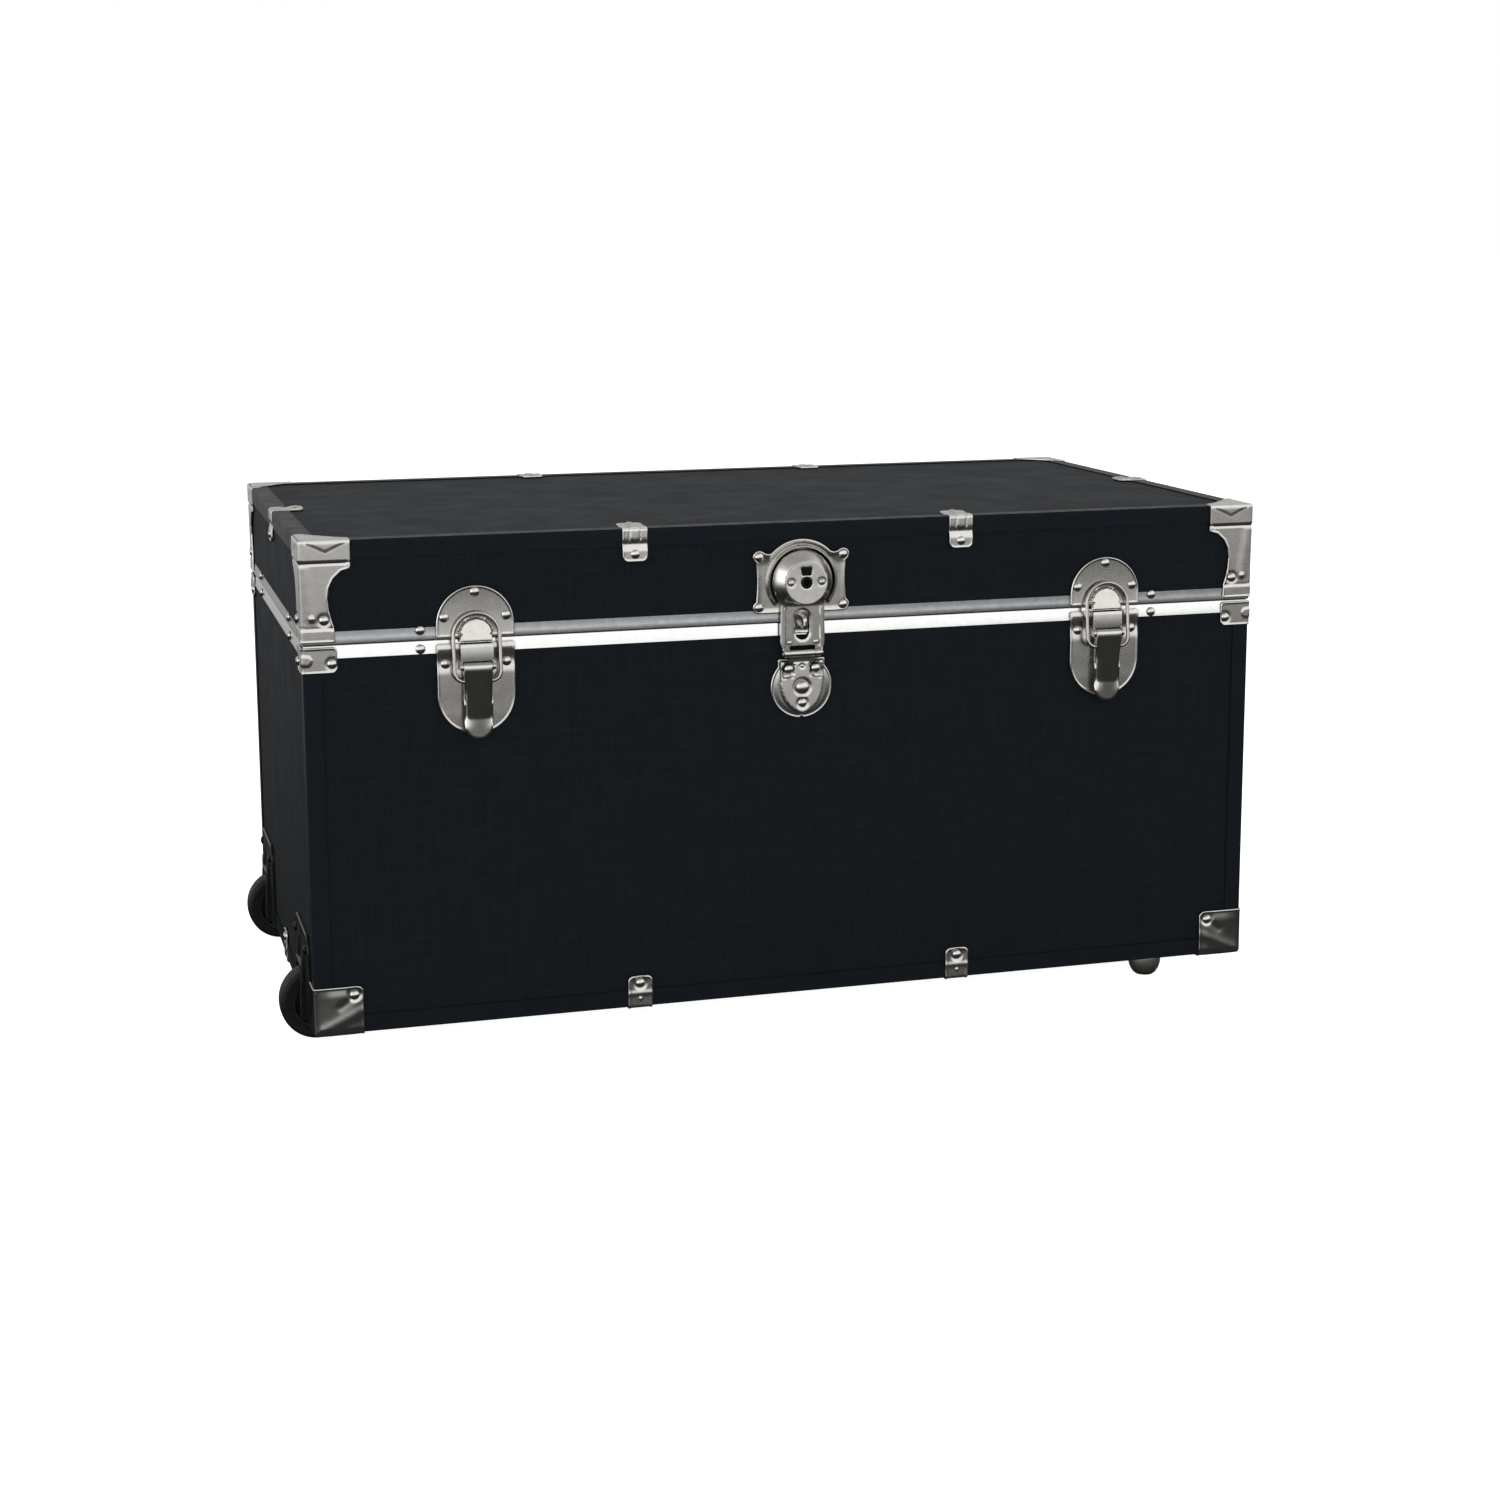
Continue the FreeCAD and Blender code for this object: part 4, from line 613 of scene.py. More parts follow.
# the body and lid strips are one steel; the lid strip's greyer base colour is painted shade
LID_STRIP = metal("lid_rim_steel", (0.46, 0.47, 0.48), (0.54, 0.55, 0.56), (0.20, 0.28), 0.05, 0)
INNER_STEEL = metal("inner_steel", (0.38, 0.38, 0.37), (0.48, 0.48, 0.47), (0.30, 0.42))
GLIDE_STEEL = metal("glide_steel", (0.42, 0.42, 0.37), (0.52, 0.52, 0.46), (0.34, 0.42))
BLACK_METAL = metal("blackened_plug", (0.010, 0.010, 0.011), (0.022, 0.022, 0.024), (0.28, 0.40))
HOUSING = plastic("housing_plastic", (0.0030, 0.0035, 0.0035), (0.0055, 0.0060, 0.0060), (0.20, 0.28),
                  0.0008, 0.00004, 0.28)
HUB = plastic("hub_plastic", (0.0030, 0.0033, 0.0033), (0.0060, 0.0064, 0.0064), (0.30, 0.42),
              0.0006, 0.00005, 0.25)
TYRE = plastic("tyre_rubber", (0.0020, 0.0022, 0.0022), (0.0040, 0.0044, 0.0044), (0.42, 0.58),
               0.0007, 0.00008, 0.2)
GRIP = plastic("grip_plastic", (0.0050, 0.0055, 0.0060), (0.0090, 0.0098, 0.0105), (0.40, 0.52),
               0.0010, 0.00010)

SLOT_MATERIALS = {
    "vinyl_panel": VINYL,
    "binding": BINDING,
    "rim_strip": BODY_STRIP,
    "nickel_trim": SATIN,
    "lock_nickel": LOCK_SATIN,
    "polished_nickel": POLISHED,
    "rivet_nickel": RIVET_METAL,
    "steel_inner": INNER_STEEL,
    "black_plug": BLACK_METAL,
    "housing_plastic": HOUSING,
    "hub_plastic": HUB,
    "tyre_rubber": TYRE,
    "glide_steel": GLIDE_STEEL,
    "grip_plastic": GRIP,
}


for part in frame["record"]["subparts"]:
    finish = frame["nodes"][part["node"]].data.materials
    finish.clear()
    finish.append(SLOT_MATERIALS[part["material_slot"]])


# ------------------------------------------------------------ rims and rivets

def rim_frame(mesh, profile, level):
    """Sweeps a closed (inset, height) profile round the case, mitred at its corners."""
    corners = ((LOW.x, LOW.y, 1, 1), (HIGH.x, LOW.y, -1, 1), (HIGH.x, HIGH.y, -1, -1), (LOW.x, HIGH.y, 1, -1))
    rings = [[mesh.verts.new((x + sx * d * MM, y + sy * d * MM, level + h * MM)) for d, h in profile]
             for x, y, sx, sy in corners]
    for one, two in zip(rings, rings[1:] + rings[:1]):
        for i in range(len(profile)):
            j = (i + 1) % len(profile)
            mesh.faces.new((one[i], two[i], two[j], one[j]))


# sections of the two rim strips, with the body's tongue and the lid's groove
BODY_RIM = ((0.2, -10), (0.86, -0.7), (0.95, -0.3), (1.2, 0), (4, 0), (4, 3), (4.8, 3), (4.8, 0), (7.4, 0),
            (7.8, -0.5), (7.8, -9), (7, -9), (7, -0.8), (1.4, -0.8), (1.4, -10))
LID_RIM = ((0.62, 10), (0.60, 7.4), (0.48, 4.4), (0.2, 0.8), (0.28, 0.3), (0.6, 0), (3.6, 0), (3.6, 3.2),
           (5.6, 3.2), (5.6, 0), (7.4, 0), (7.8, 0.5), (7.8, 9), (7, 9), (7, 0.8), (6.4, 0.8), (6.4, 4),
           (2.8, 4), (2.8, 0.8), (1.4, 0.8), (1.8, 10))
TONGUE_H = 3.0


def rims():
    """The two steel strips round the opening."""
    mesh = bmesh.new()
    rim_frame(mesh, BODY_RIM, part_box("body_rim")[1].z - TONGUE_H * MM)
    piece("body_rim_strip", mesh, BODY_STRIP, "case", ["body_rim"])
    mesh = bmesh.new()
    rim_frame(mesh, LID_RIM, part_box("lid_rim")[0].z)
    piece("lid_rim_strip", mesh, LID_STRIP, "lid", ["lid_rim"])


RIVET_R, RIVET_RISE = 3.75, 2.2
SHANK_R, CLINCH_R, CLINCH_T = 1.5, 2.6, 0.6


def rivet_profile(grip):
    """(radius, w) of a dome-headed rivet whose clinched end is grip below the plate."""
    dome = [(RIVET_R * math.sin(t), RIVET_RISE * math.cos(t)) for t in
            (math.radians(d) for d in (0, 14, 28, 42, 56, 68, 78, 86, 90))]
    end = -grip - CLINCH_T
    return dome + [(RIVET_R - 0.15, -0.05), (SHANK_R, -0.05), (SHANK_R, -grip), (CLINCH_R, -grip),
                   (CLINCH_R, -grip - CLINCH_T * 0.6), (CLINCH_R - 0.4, end), (0, end)]


def square_place(point, axis, sign):
    """Places (a, b, w) with w along an axis, outward from a point."""
    out = Vector((0, 0, 0))
    out[axis] = sign
    over = out.orthogonal().normalized()
    up = out.cross(over)
    return lambda a, b, w: point + (over * a + up * b + out * w) * MM


HOUSING_BOXES = [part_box(f"wheel_housing_{end}") for end in ("front", "rear")]
NEAR_HOUSING = 6 * MM


def on_housing(point):
    """Whether a rivet goes through the flange of a wheel housing."""
    return any(all(low[k] - NEAR_HOUSING <= point[k] <= high[k] + NEAR_HOUSING for k in range(3))
               for low, high in HOUSING_BOXES)


def rivet_set(node_name, body):
    """Domed rivets where a CAD node has plain ones, black on the wheel housings."""
    mesh = bmesh.new()
    middle = (LOW + HIGH) / 2
    for low, high in solids(node_name):
        size = high - low
        axis = max(range(3), key=lambda k: size[k])
        centre = (low + high) / 2
        sign = 1 if centre[axis] > middle[axis] else -1
        seat = centre.copy()
        seat[axis] = (high if sign > 0 else low)[axis] - sign * RIVET_RISE * MM
        grip = size[axis] / MM - RIVET_RISE - CLINCH_T
        known = set(mesh.faces)
        turn(mesh, rivet_profile(grip), square_place(seat, axis, sign), sides=28)
        for face in set(mesh.faces) - known:
            face.material_index = int(on_housing(centre))
    piece(node_name + "_domes", mesh, RIVET_METAL, body, [node_name], 40, BLACK_METAL)


# ------------------------------------------------------------ hasp lock

LOCK_H = 339.5
RING_R, RING_LOW, RING_HIGH = 27.7, 3.1, 5.2
DOME_R, FACE_R, FACE_W = 25.2, 17.3, 16.2
STRAP_HALF, STRAP_W = 18.75, 5.0
HINGE_H, HINGE_W, KNUCKLE_R = 281.5, 4.0, 3.0
PLATE_W, SEAT_W = 1.0, -0.2         # a plate's face, and its back on the rim strips
BOLT_WAY = 4.4, 1.8, 4.1            # half width of the bolt's slot, and its reach out of the case plane
front = on_front()


def seat(a, b):
    return SEAT_W


RING_END = 36       # degrees below level at which the ring ends on either side


def ring_rise(a, b):
    """How far the strike plate's ring stands out of it."""
    if math.degrees(math.atan2(b - LOCK_H, abs(a))) > -RING_END:
        off = abs(math.hypot(a, b - LOCK_H) - RING_R)
    else:
        turned = math.radians(RING_END)
        off = math.dist((abs(a), b), (RING_R * math.cos(turned), LOCK_H - RING_R * math.sin(turned)))
    crest = RING_LOW + (RING_HIGH - RING_LOW) * smooth((b - 312) / 40)
    rise = (crest - PLATE_W) * bump(max(0.0, off - 0.7), 1.6)
    return rise - 0.35 * bump(abs(off - 2.9), 0.9)


def without_box(mesh, low, high):
    """The mesh with a box, between two corners (a, b, w) on the front, taken out of it."""
    ends = front(*low), front(*high)
    size = Vector(abs(length) for length in ends[1] - ends[0])
    box = bmesh.new()
    bmesh.ops.create_cube(box, size=1.0, matrix=Matrix.LocRotScale((ends[0] + ends[1]) / 2, None, size))
    bmesh.ops.recalc_face_normals(mesh, faces=mesh.faces)
    helpers = []
    for source in (mesh, box):
        data = bpy.data.meshes.new("cutting")
        source.to_mesh(data)
        source.free()
        helpers.append(bpy.data.objects.new("cutting", data))
        bpy.context.scene.collection.objects.link(helpers[-1])
    cut = helpers[0].modifiers.new("cut", "BOOLEAN")
    cut.operation, cut.solver, cut.object = "DIFFERENCE", "EXACT", helpers[1]
    result = bmesh.new()
    result.from_mesh(helpers[0].evaluated_get(bpy.context.evaluated_depsgraph_get()).data)
    for helper in helpers:
        data = helper.data
        bpy.data.objects.remove(helper)
        bpy.data.meshes.remove(data)
    return result


def strike_plate():
    """Eared lid plate with the ring that the hasp's dome closes into, and a slot in the ring for the bolt."""
    half = [(0, 297), (12.5, 297), (14, 298.5), (14, 312.5), (15.5, 314)]
    half += arc(34.8, 319.2, 5.2, -90, 60)
    half += [(36.9, 329), (36.6, 334), (36.5, 339.3), (36.6, 344.6), (36.9, 349.6)]
    half += arc(34.8, 359.4, 5.2, -60, 120)
    half += [(29.6, 362.3), (26.8, 361.8)]
    half += arc(0, LOCK_H, 33.5, 43.8, 90, 4)
    outline = mirrored(half)

    def face(a, b, gap):
        dish = -0.25 * smooth((gap - 1.4) / 3)
        crown = 0.5 * smooth((math.hypot(a, b - LOCK_H) - 30.6) / 2.5) * smooth((b - 352) / 9)
        ramp = 2.2 * smooth((b - 296) / 19) * (1 - smooth((b - 316) / 3)) * (1 - smooth((abs(a) - 7) / 2))
        return PLATE_W + border(gap, 0.35, 0.9) + dish + crown + max(ramp, ring_rise(a, b))
    mesh = bmesh.new()
    ring_lines = [mirrored(arc(0, LOCK_H, r, -90, 90, 4)) for r in (25.5, 27.0, 28.4, 29.9)]
    press(mesh, sheet(outline, 1.15, 0.5, lines=ring_lines), front, face, seat)
    half_width, low_w, high_w = BOLT_WAY
    mesh = without_box(mesh, (-half_width, LOCK_H, low_w), (half_width, LOCK_H + RING_R + 1.2, high_w))
    piece("strike_plate_pressed", mesh, LOCK_SATIN, "lid", ["strike_plate"])


def dome_w(radius):
    """Outer face of the lock's dome: a steep cone from its foot to its flat top."""
    t = min(1.0, max(0.0, (DOME_R - radius) / (DOME_R - FACE_R)))
    return 4.4 + 9.8 * t ** 0.8


def hasp_w(a, b, gap):
    """Outer face of the hasp: strap below, dome above, and the shoulder between them."""
    radius = math.hypot(a, b - LOCK_H)
    side = STRAP_HALF - abs(a)
    strap = STRAP_W - 0.9 * smooth((side - 4.0) / 1.0)
    if side < 1.75:
        strap = STRAP_W - 1.75 + math.sqrt(max(0.0, 1.75 ** 2 - (1.75 - side) ** 2))
    slot_off = max(0.0, math.hypot(a, max(0.0, abs(b - 304.2) - 5.9)) - 5.9)
    strap -= 0.6 * bump(slot_off, 1.4)
    if b < HINGE_H + 3.0:
        wrap = math.sqrt(max(0.0, (KNUCKLE_R + 0.15) ** 2 - (b - HINGE_H) ** 2))
        return max(HINGE_W + wrap, strap if b > HINGE_H + 1.5 else 0.0)
    if b < 320 and radius > DOME_R - 0.01:
        return strap
    return strap + (max(dome_w(radius), strap) - strap) * smooth((b - 319.5) / 13)


def hasp_shell():
    """Strap and dome, pressed in one, with the hinge knuckles rolled from the strap's foot."""
    start = math.degrees(math.asin((321.5 - LOCK_H) / DOME_R))
    half = [(0, 287.4), (9.6, 287.4), (10.4, 286.6), (10.4, 278.7), (13.4, 278.7), (15.4, 281.2)]
    half += [(STRAP_HALF, 290.5)] + arc(0, LOCK_H, DOME_R, start, 90, 4)
    slot = arc(0, 310.1, 5.9, 0, 180, 15) + arc(0, 298.3, 5.9, 180, 360, 15)
    bow = [mirrored(arc(0, LOCK_H, r, -90, 90, 5)) for r in (18.0, 24.0)]
    bow += [[(-a, 288.6), (a, 288.6), (a, 318.0), (-a, 318.0)] for a in (STRAP_HALF - 4.0, STRAP_HALF - 5.0)]
    mesh = bmesh.new()

    def back(a, b):
        radius = math.hypot(a, b - LOCK_H)
        edge = min(STRAP_HALF - abs(a), 3.0) if b < 321.5 else DOME_R - radius
        if b < 285.6:
            return HINGE_W - 0.5 if abs(a) > 10.3 else 3.5
        if b < 290 and edge < 1.2:
            return 3.5
        return 1.3 if edge < 1.2 else hasp_w(a, b, 0) - 1.2
    flat = sheet(mirrored(half), 1.1, 0.3, holes=[slot], lines=bow)
    press(mesh, flat, front, hasp_w, back)
    for side in (-1, 1):
        knuckle(mesh, side * 11.0, side * 15.2)
        stud(mesh, front, (side * 11.0, 290.6), STRAP_W - 0.9, 2.3, 2.2, 20)
    piece("hasp_pressed", mesh, LOCK_SATIN, "hasp", ["hasp"], sharp=38)


def knuckle(mesh, a0, a1):
    """Rolled hinge barrel about the hasp's pin, with rounded ends."""
    a0, a1 = sorted((a0, a1))
    profile = [(0, 0), (KNUCKLE_R - 0.4, 0), (KNUCKLE_R, 0.4), (KNUCKLE_R, a1 - a0 - 0.4),
               (KNUCKLE_R - 0.4, a1 - a0), (0, a1 - a0)]
    turn(mesh, profile, lambda u, v, w: front(a0 + w, HINGE_H + u, HINGE_W + v), sides=28)


def strip(mesh, a0, a1, line, thickness):
    """Bent strip between a0 and a1: line is its (b, w) outer face, thickness goes into the case."""
    a0, a1 = sorted((a0, a1))
    outline = line + [(b, w - thickness) for b, w in line[::-1]]
    loops = [[mesh.verts.new(front(a, b, w)) for b, w in outline] for a in (a0, a1)]
    for (p, q), (r, s) in zip(*map(sides_of, loops)):
        mesh.faces.new((p, r, s, q))
    mesh.faces.new(loops[0])
    mesh.faces.new(loops[1][::-1])


STUD_AT = 12.7, LOCK_H + 0.5


def hasp_cover():
    """Round cover on the dome, with a key window, the plug hole and two studs."""
    ring = arc(0, LOCK_H, FACE_R, 0, 355, 5)
    window = rounded([(-4.7, 351.8, 1.2), (-3.9, 345.4, 1.2), (3.9, 345.4, 1.2), (4.7, 351.8, 1.2)])
    plug = arc(0, LOCK_H, 4.55, 0, 350, 10)
    mesh = bmesh.new()

    def face(a, b, gap):
        down = (LOCK_H - b) / FACE_R
        return FACE_W - 0.55 + 0.5 * down + 0.15 * down * down + well(abs(a), b, STUD_AT, 2.9, 1.2, 0.45)
    press(mesh, sheet(ring, 1.0, 0.6, holes=[window, plug]), front, face, lambda a, b: FACE_W - 1.6)
    wall = [(FACE_R - 0.02, FACE_W - 0.9), (FACE_R - 0.02, lambda a, b: hasp_w(a, b, 0) - 0.3),
            (FACE_R - 0.6, lambda a, b: hasp_w(a, b, 0) - 0.3), (FACE_R - 0.6, FACE_W - 0.9)]
    turn(mesh, wall, front, (0, LOCK_H), 72)
    for side in (-1, 1):
        stud(mesh, front, (side * STUD_AT[0], STUD_AT[1]), FACE_W - 0.6, 2.6, 1.9)
    piece("hasp_face_disc", mesh, FACE_SATIN, "hasp", ["hasp_face"])
    # painted shade: a black disc behind the key window stands in for the shade inside the lock
    mesh = bmesh.new()
    face_w, back_w, radius = FACE_W - 1.2, FACE_W - 1.7, 6.2
    turn(mesh, [(0, face_w), (radius, face_w), (radius, back_w), (0, back_w)], front, (0, 348.6), 24)
    piece("key_window_painted_shade", mesh, BLACK_METAL, "hasp")


def plug():
    """Key plug with a ring-shaped keyway, and the cam arm behind it that lifts the bolt."""
    mesh = bmesh.new()
    back, arm_w, arm_half, arm_reach = 11.9, 12.9, 1.2, 12.6
    profile = [(0, 15.6), (0.9, 15.6), (1.1, 15.4), (1.1, 14.2), (2.2, 14.2), (2.2, 15.8), (2.5, 16.0),
               (3.3, 16.0), (3.6, 15.7), (4.2, 15.7), (4.5, 15.4), (4.5, back), (0, back)]
    turn(mesh, profile, front, (0, LOCK_H), 40)
    low, high = LOCK_H - arm_half, LOCK_H + arm_half
    arm = rounded([(0, low), (arm_reach, low, 0.8), (arm_reach, high, 0.8), (0, high)])
    press(mesh, sheet(arm, 1.2, 0.1), front, lambda a, b, gap: arm_w, lambda a, b: back)
    piece("lock_plug_round", mesh, BLACK_METAL, "plug", ["lock_plug"])


def lower_plate():
    """Round body plate: raised shield, pockets round its rivets, button, and the hinge's middle knuckle."""
    low_b, radius, half_w, top = 254.0, 25.5, 19.5, 277.0
    angle = math.degrees(math.acos(half_w / radius))
    half = [(0, 229.3), (1.6, 228.8)] + arc(0, low_b, radius, -85, angle, 4)
    half += [(half_w, 275.8), (half_w - 1.2, top), (0, top)]
    shield_half = [(0, 231.4), (3.5, 232.5), (7.5, 234.9), (11.5, 238.2), (14.4, 241.8), (16.4, 245.8)]
    shield_half += [(17.7, 250.6), (18.4, 256.0), (18.6, 264.0), (18.6, 274.6), (17.6, 275.8), (0, 275.8)]
    shield = mirrored(shield_half)
    depth_in_shield = depth_in(turned_left(shield))
    pocket = [(6.2, 262.2, 3.0), (16.6, 261.2, 1.2), (16.6, 273.8, 4.0), (5.0, 273.8, 2.0), (6.6, 269, 0)]
    depth_in_pocket = depth_in(turned_left(rounded(pocket)))

    def face(a, b, gap):
        depth = depth_in_shield(a, b)
        on_shield = smooth(depth / 1.1)
        slope = 0.7 * smooth((gap - 0.8) / 5)
        rise = (2.0 + 0.035 * (275 - b)) * on_shield + 0.25 * smooth((depth - 1.0) / 1.2)
        rise -= 1.8 * smooth((depth_in_pocket(abs(a), b) + 0.3) / 1.3)
        rise += well(a, b, (0, low_b), 6.0, 2.0, 0.6)
        rise += well(a, b, (0, 241), 4.2, 1.4, 0.4) + well(a, b, (0, 271), 1.6, 1.0, 0.4)
        return PLATE_W + border(gap) + slope * (1 - on_shield) + rise
    mesh = bmesh.new()
    button_ring = arc(0, low_b, 5.6, 0, 350, 12)
    press(mesh, sheet(mirrored(half), 1.05, 0.4, lines=[shield, button_ring]), front, face, seat)
    stud(mesh, front, (0, low_b), 4.1, 5.6, 3.8, 32)
    stud(mesh, front, (0, 271), 2.9, 1.7, 1.1, 16)
    knuckle(mesh, -10.5, 10.5)
    strip(mesh, -10.5, 10.5, [(274.0, 2.6), (277.0, 2.7), (279.2, 3.4)], 1.1)
    piece("lower_lock_pressed", mesh, LOCK_SATIN, "case", ["lower_lock_plate"])


# ------------------------------------------------------------ draw latches

LATCH_R = 30.25
LEVER_HALF, LEVER_TIP = 11.2, 228.9
PIVOT_H, PIVOT_W, BARREL_R = 285.5, 9.5, 3.0


def curve(points, at):
    """Smooth height at a place on a line through (place, height) points."""
    for (x0, y0), (x1, y1) in zip(points, points[1:]):
        if at <= x1:
            return y0 + (y1 - y0) * smooth((at - x0) / (x1 - x0))
    return points[-1][1]


def catch_plate(side, x):
    """Round-topped lid plate with the raised catch that the bail hooks over."""
    low, high = 307.8, 347.5
    shoulder = high - LATCH_R
    catch_low, catch_high, catch_r, overhang = 301.0, 322.6, 13.0, 304.6
    half = [(0, overhang), (catch_r - 0.3, overhang), (catch_r - 0.3, low), (LATCH_R - 0.8, low)]
    half += [(LATCH_R, low + 0.8)] + arc(0, shoulder, LATCH_R, 0, 90, 3)
    catch_half = [(0, catch_low), (catch_r, catch_low)] + arc(0, catch_high - catch_r, catch_r, 0, 90, 6)
    catch = depth_in(turned_left(mirrored(catch_half)))

    def face(a, b, gap):
        bow = 0.5 * ((b - 326) / 22) ** 2
        depth = catch(a, b)
        trench = -0.5 * bump(max(0.0, -depth - 1.0), 4.0) if depth < 0 else -0.5
        dome = 0.0
        if depth > 0:
            dome = 3.2 * math.sqrt(1 - (1 - min(1.0, depth / 2.2)) ** 2) + 2.2 * (catch_high - b) / 14.3
        return PLATE_W + border(gap, 0.45, 0.9) + bow + trench + dome
    mesh = bmesh.new()
    press(mesh, sheet(mirrored(half), 1.15, 0.45, lines=[mirrored(catch_half)]), on_front(x), face,
          lambda a, b: SEAT_W if b > low - 0.05 else 3.4)
    piece(f"catch_plate_{side}", mesh, SATIN, "lid", [f"latch_catch_{side}"])


def base_plate(side, x):
    """Round-bottomed body plate, with the bridge and the two ears that hold the lever's pin."""
    low, high = 231.75, 303.0
    shoulder = low + LATCH_R
    half = [(0, low)] + arc(0, shoulder, LATCH_R, -90, 0, 3)
    half += [(LATCH_R, high - 0.8), (LATCH_R - 0.8, high), (0, high)]
    rise = [(231, 0.9), (250, 1.15), (279, 1.35), (289, 0.45), (299.4, 1.9), (300.2, 1.8), (303, 0.9)]

    def face(a, b, gap):
        edge = border(gap, 0.35, 0.9) if b < 298 else 0.0
        middle = 0.35 * (1 - (a / LATCH_R) ** 2)
        return PLATE_W + edge + middle + curve(rise, b) - 0.5
    mesh = bmesh.new()
    place = on_front(x)
    press(mesh, sheet(mirrored(half), 1.3, 0.45), place, face, seat)
    inner, outer, ear_t = 11.5, 12.7, 1.2

    def on_side(b, w, a):
        return place(a, b, w)
    bridge = [(288.6, 6.6), (288.9, 7.7), (289.5, 8.15), (290.2, 8.2), (300.6, 8.2), (301.3, 8.1),
              (302.9, 7.3), (303.2, 6.4), (302.4, 5.2), (301.4, 5.6), (301.2, 6.8), (296.0, 7.0),
              (290.2, 6.9), (289.6, 6.4)]
    flat_sided(mesh, bridge, on_side, -outer, outer)
    ear = rounded([(282.5, 0.5), (303.0, 0.5), (303.0, 7.6, 0.8), (290.5, 8.0, 1.5), (288.5, 9.5, 1.0),
                   (288.5, 12.5, 3.0), (282.5, 12.5, 3.0)])
    for edge in (-outer, inner):
        flat_sided(mesh, ear, on_side, edge, edge + ear_t)
    piece(f"latch_plate_{side}", mesh, SATIN, "case", [f"latch_base_{side}"])


def flat_sided(mesh, outline, place, start, end, edge=0.15):
    """Solid with a closed (b, w) outline, from start to end, with its edges eased."""
    outline = turned_left(list(outline))
    eased = inset(outline, [edge] * len(outline))
    loops = [(eased, start), (outline, start + edge), (outline, end - edge), (eased, end)]
    rings = [[mesh.verts.new(place(b, w, at)) for b, w in loop] for loop, at in loops]
    joined(mesh, rings)


LEVER_BOW = [(228.4, 10.1), (238.0, 10.0), (245.0, 9.95), (262.0, 11.1), (283.5, 12.55), (285.5, 12.5)]


def lever(side, x):
    """Pressed lever: bowed front, rounded into two flanges, a rolled barrel and a flared tip."""
    half = arc(0, LEVER_TIP + LEVER_HALF, LEVER_HALF, -90, 0, 5)
    half += [(LEVER_HALF, 288.0), (LEVER_HALF - 0.5, 288.5), (0, 288.5)]

    def barrel(b):
        return math.sqrt(max(0.0, BARREL_R ** 2 - (b - PIVOT_H) ** 2))

    def bow(b):
        return PIVOT_W + barrel(b) if b > PIVOT_H else np.interp(b, *zip(*LEVER_BOW))

    def face(a, b, gap):
        tip = 1 - smooth((b - 236) / 12)
        top = smooth((b - 264) / 18)
        radius = 3.6 - 2.4 * tip - 2.8 * top
        over = max(0.0, radius - max(0.0, gap if b < PIVOT_H - 6 else LEVER_HALF - abs(a)))
        crown = 0.9 * (1 - tip) * (1 - top) * (a / LEVER_HALF) ** 2
        return bow(b) - crown - (radius - math.sqrt(max(0.0, radius ** 2 - over ** 2)))

    def back(a, b):
        if b > PIVOT_H - 2:
            return PIVOT_W - barrel(b) if b > PIVOT_H else 6.5
        flange = 6.5 + 5.1 * smooth((270 - b) / 27) + 3.2 * smooth((243 - b) / 14)
        shell = bow(b) - 0.9 - 0.9 * (a / LEVER_HALF) ** 2
        if abs(a) > LEVER_HALF - 1.2 and b > 241:
            return min(flange, shell)
        return min(shell, face(a, b, 9) - 0.8)
    mesh = bmesh.new()
    wall = LEVER_HALF - 1.25
    inner_line = [(-wall, 242), (wall, 242), (wall, 283.4), (-wall, 283.4)]
    press(mesh, sheet(mirrored(half), 0.95, 0.25, lines=[inner_line]), on_front(x), face, back)
    piece(f"lever_{side}_pressed", mesh, POLISHED, f"lever_{side}",
          [f"latch_lever_{side}"], 40)


def bail(side, x):
    """Wire loop from the lever, round the catch."""
    place = on_front(x)
    foot, head, half, stub, foot_bend, wire_r = (274.5, 9.5), (326.5, 4.1), 18.0, 9.4, 7.0, 1.5
    head_bend = half - 0.02
    corners = [(-stub, *foot), (-half, *foot), (-half, *head), (half, *head), (half, *foot), (stub, *foot)]
    radii = [radius * MM for radius in (foot_bend, head_bend, head_bend, foot_bend)]
    mesh = bmesh.new()
    tube(mesh, bent([place(*c) for c in corners], radii, 12), wire_r * MM, 20)
    piece(f"bail_{side}_wire", mesh, WIRE, f"bail_{side}", [f"latch_bail_{side}"], 50)


# ------------------------------------------------------------ corners, clamps and clips

FOLD_R = 1.5                # outer edges of the case are rounded to this
CORNER = 38.0               # legs of the lid's and the bottom's corners
CAP_W, CAP_BACK = 0.95, 0.02
ONE_FOLD, TWO_FOLDS = ((0, 0.0),), ((0, 0.0), (1, 0.0))


def cap_back(a, b):
    return CAP_BACK


def face_place(corner, over, up):
    """Places (a, b, w) on one face at a corner or an edge: a along axis over, b along axis up."""
    def place(a, b, w):
        inward = [0.0, 0.0, 0.0]
        inward[over], inward[up] = a, b
        return corner(inward, w)
    return place


def case_corners(z_end):
    """The four corners of the case at one end of Z."""
    return [(x, y, z_end) for x in (0, 1) for y in (0, 1)]


LID_SIDE = [(0, 0), (38, 0), (38, 21.5), (31, 23.5), (25, 29), (21.5, 36), (20.3, 44), (21, 53), (22.6, 60),
            (24.5, 66), (24.7, 72), (25, 77.5), (0, 77.5)]
TOP_COVER = [(0, 0), (38, 0), (38, 7), (33, 9.5), (27, 14.5), (21, 21), (14.5, 27), (9.5, 33), (7, 38),
             (0, 38)]


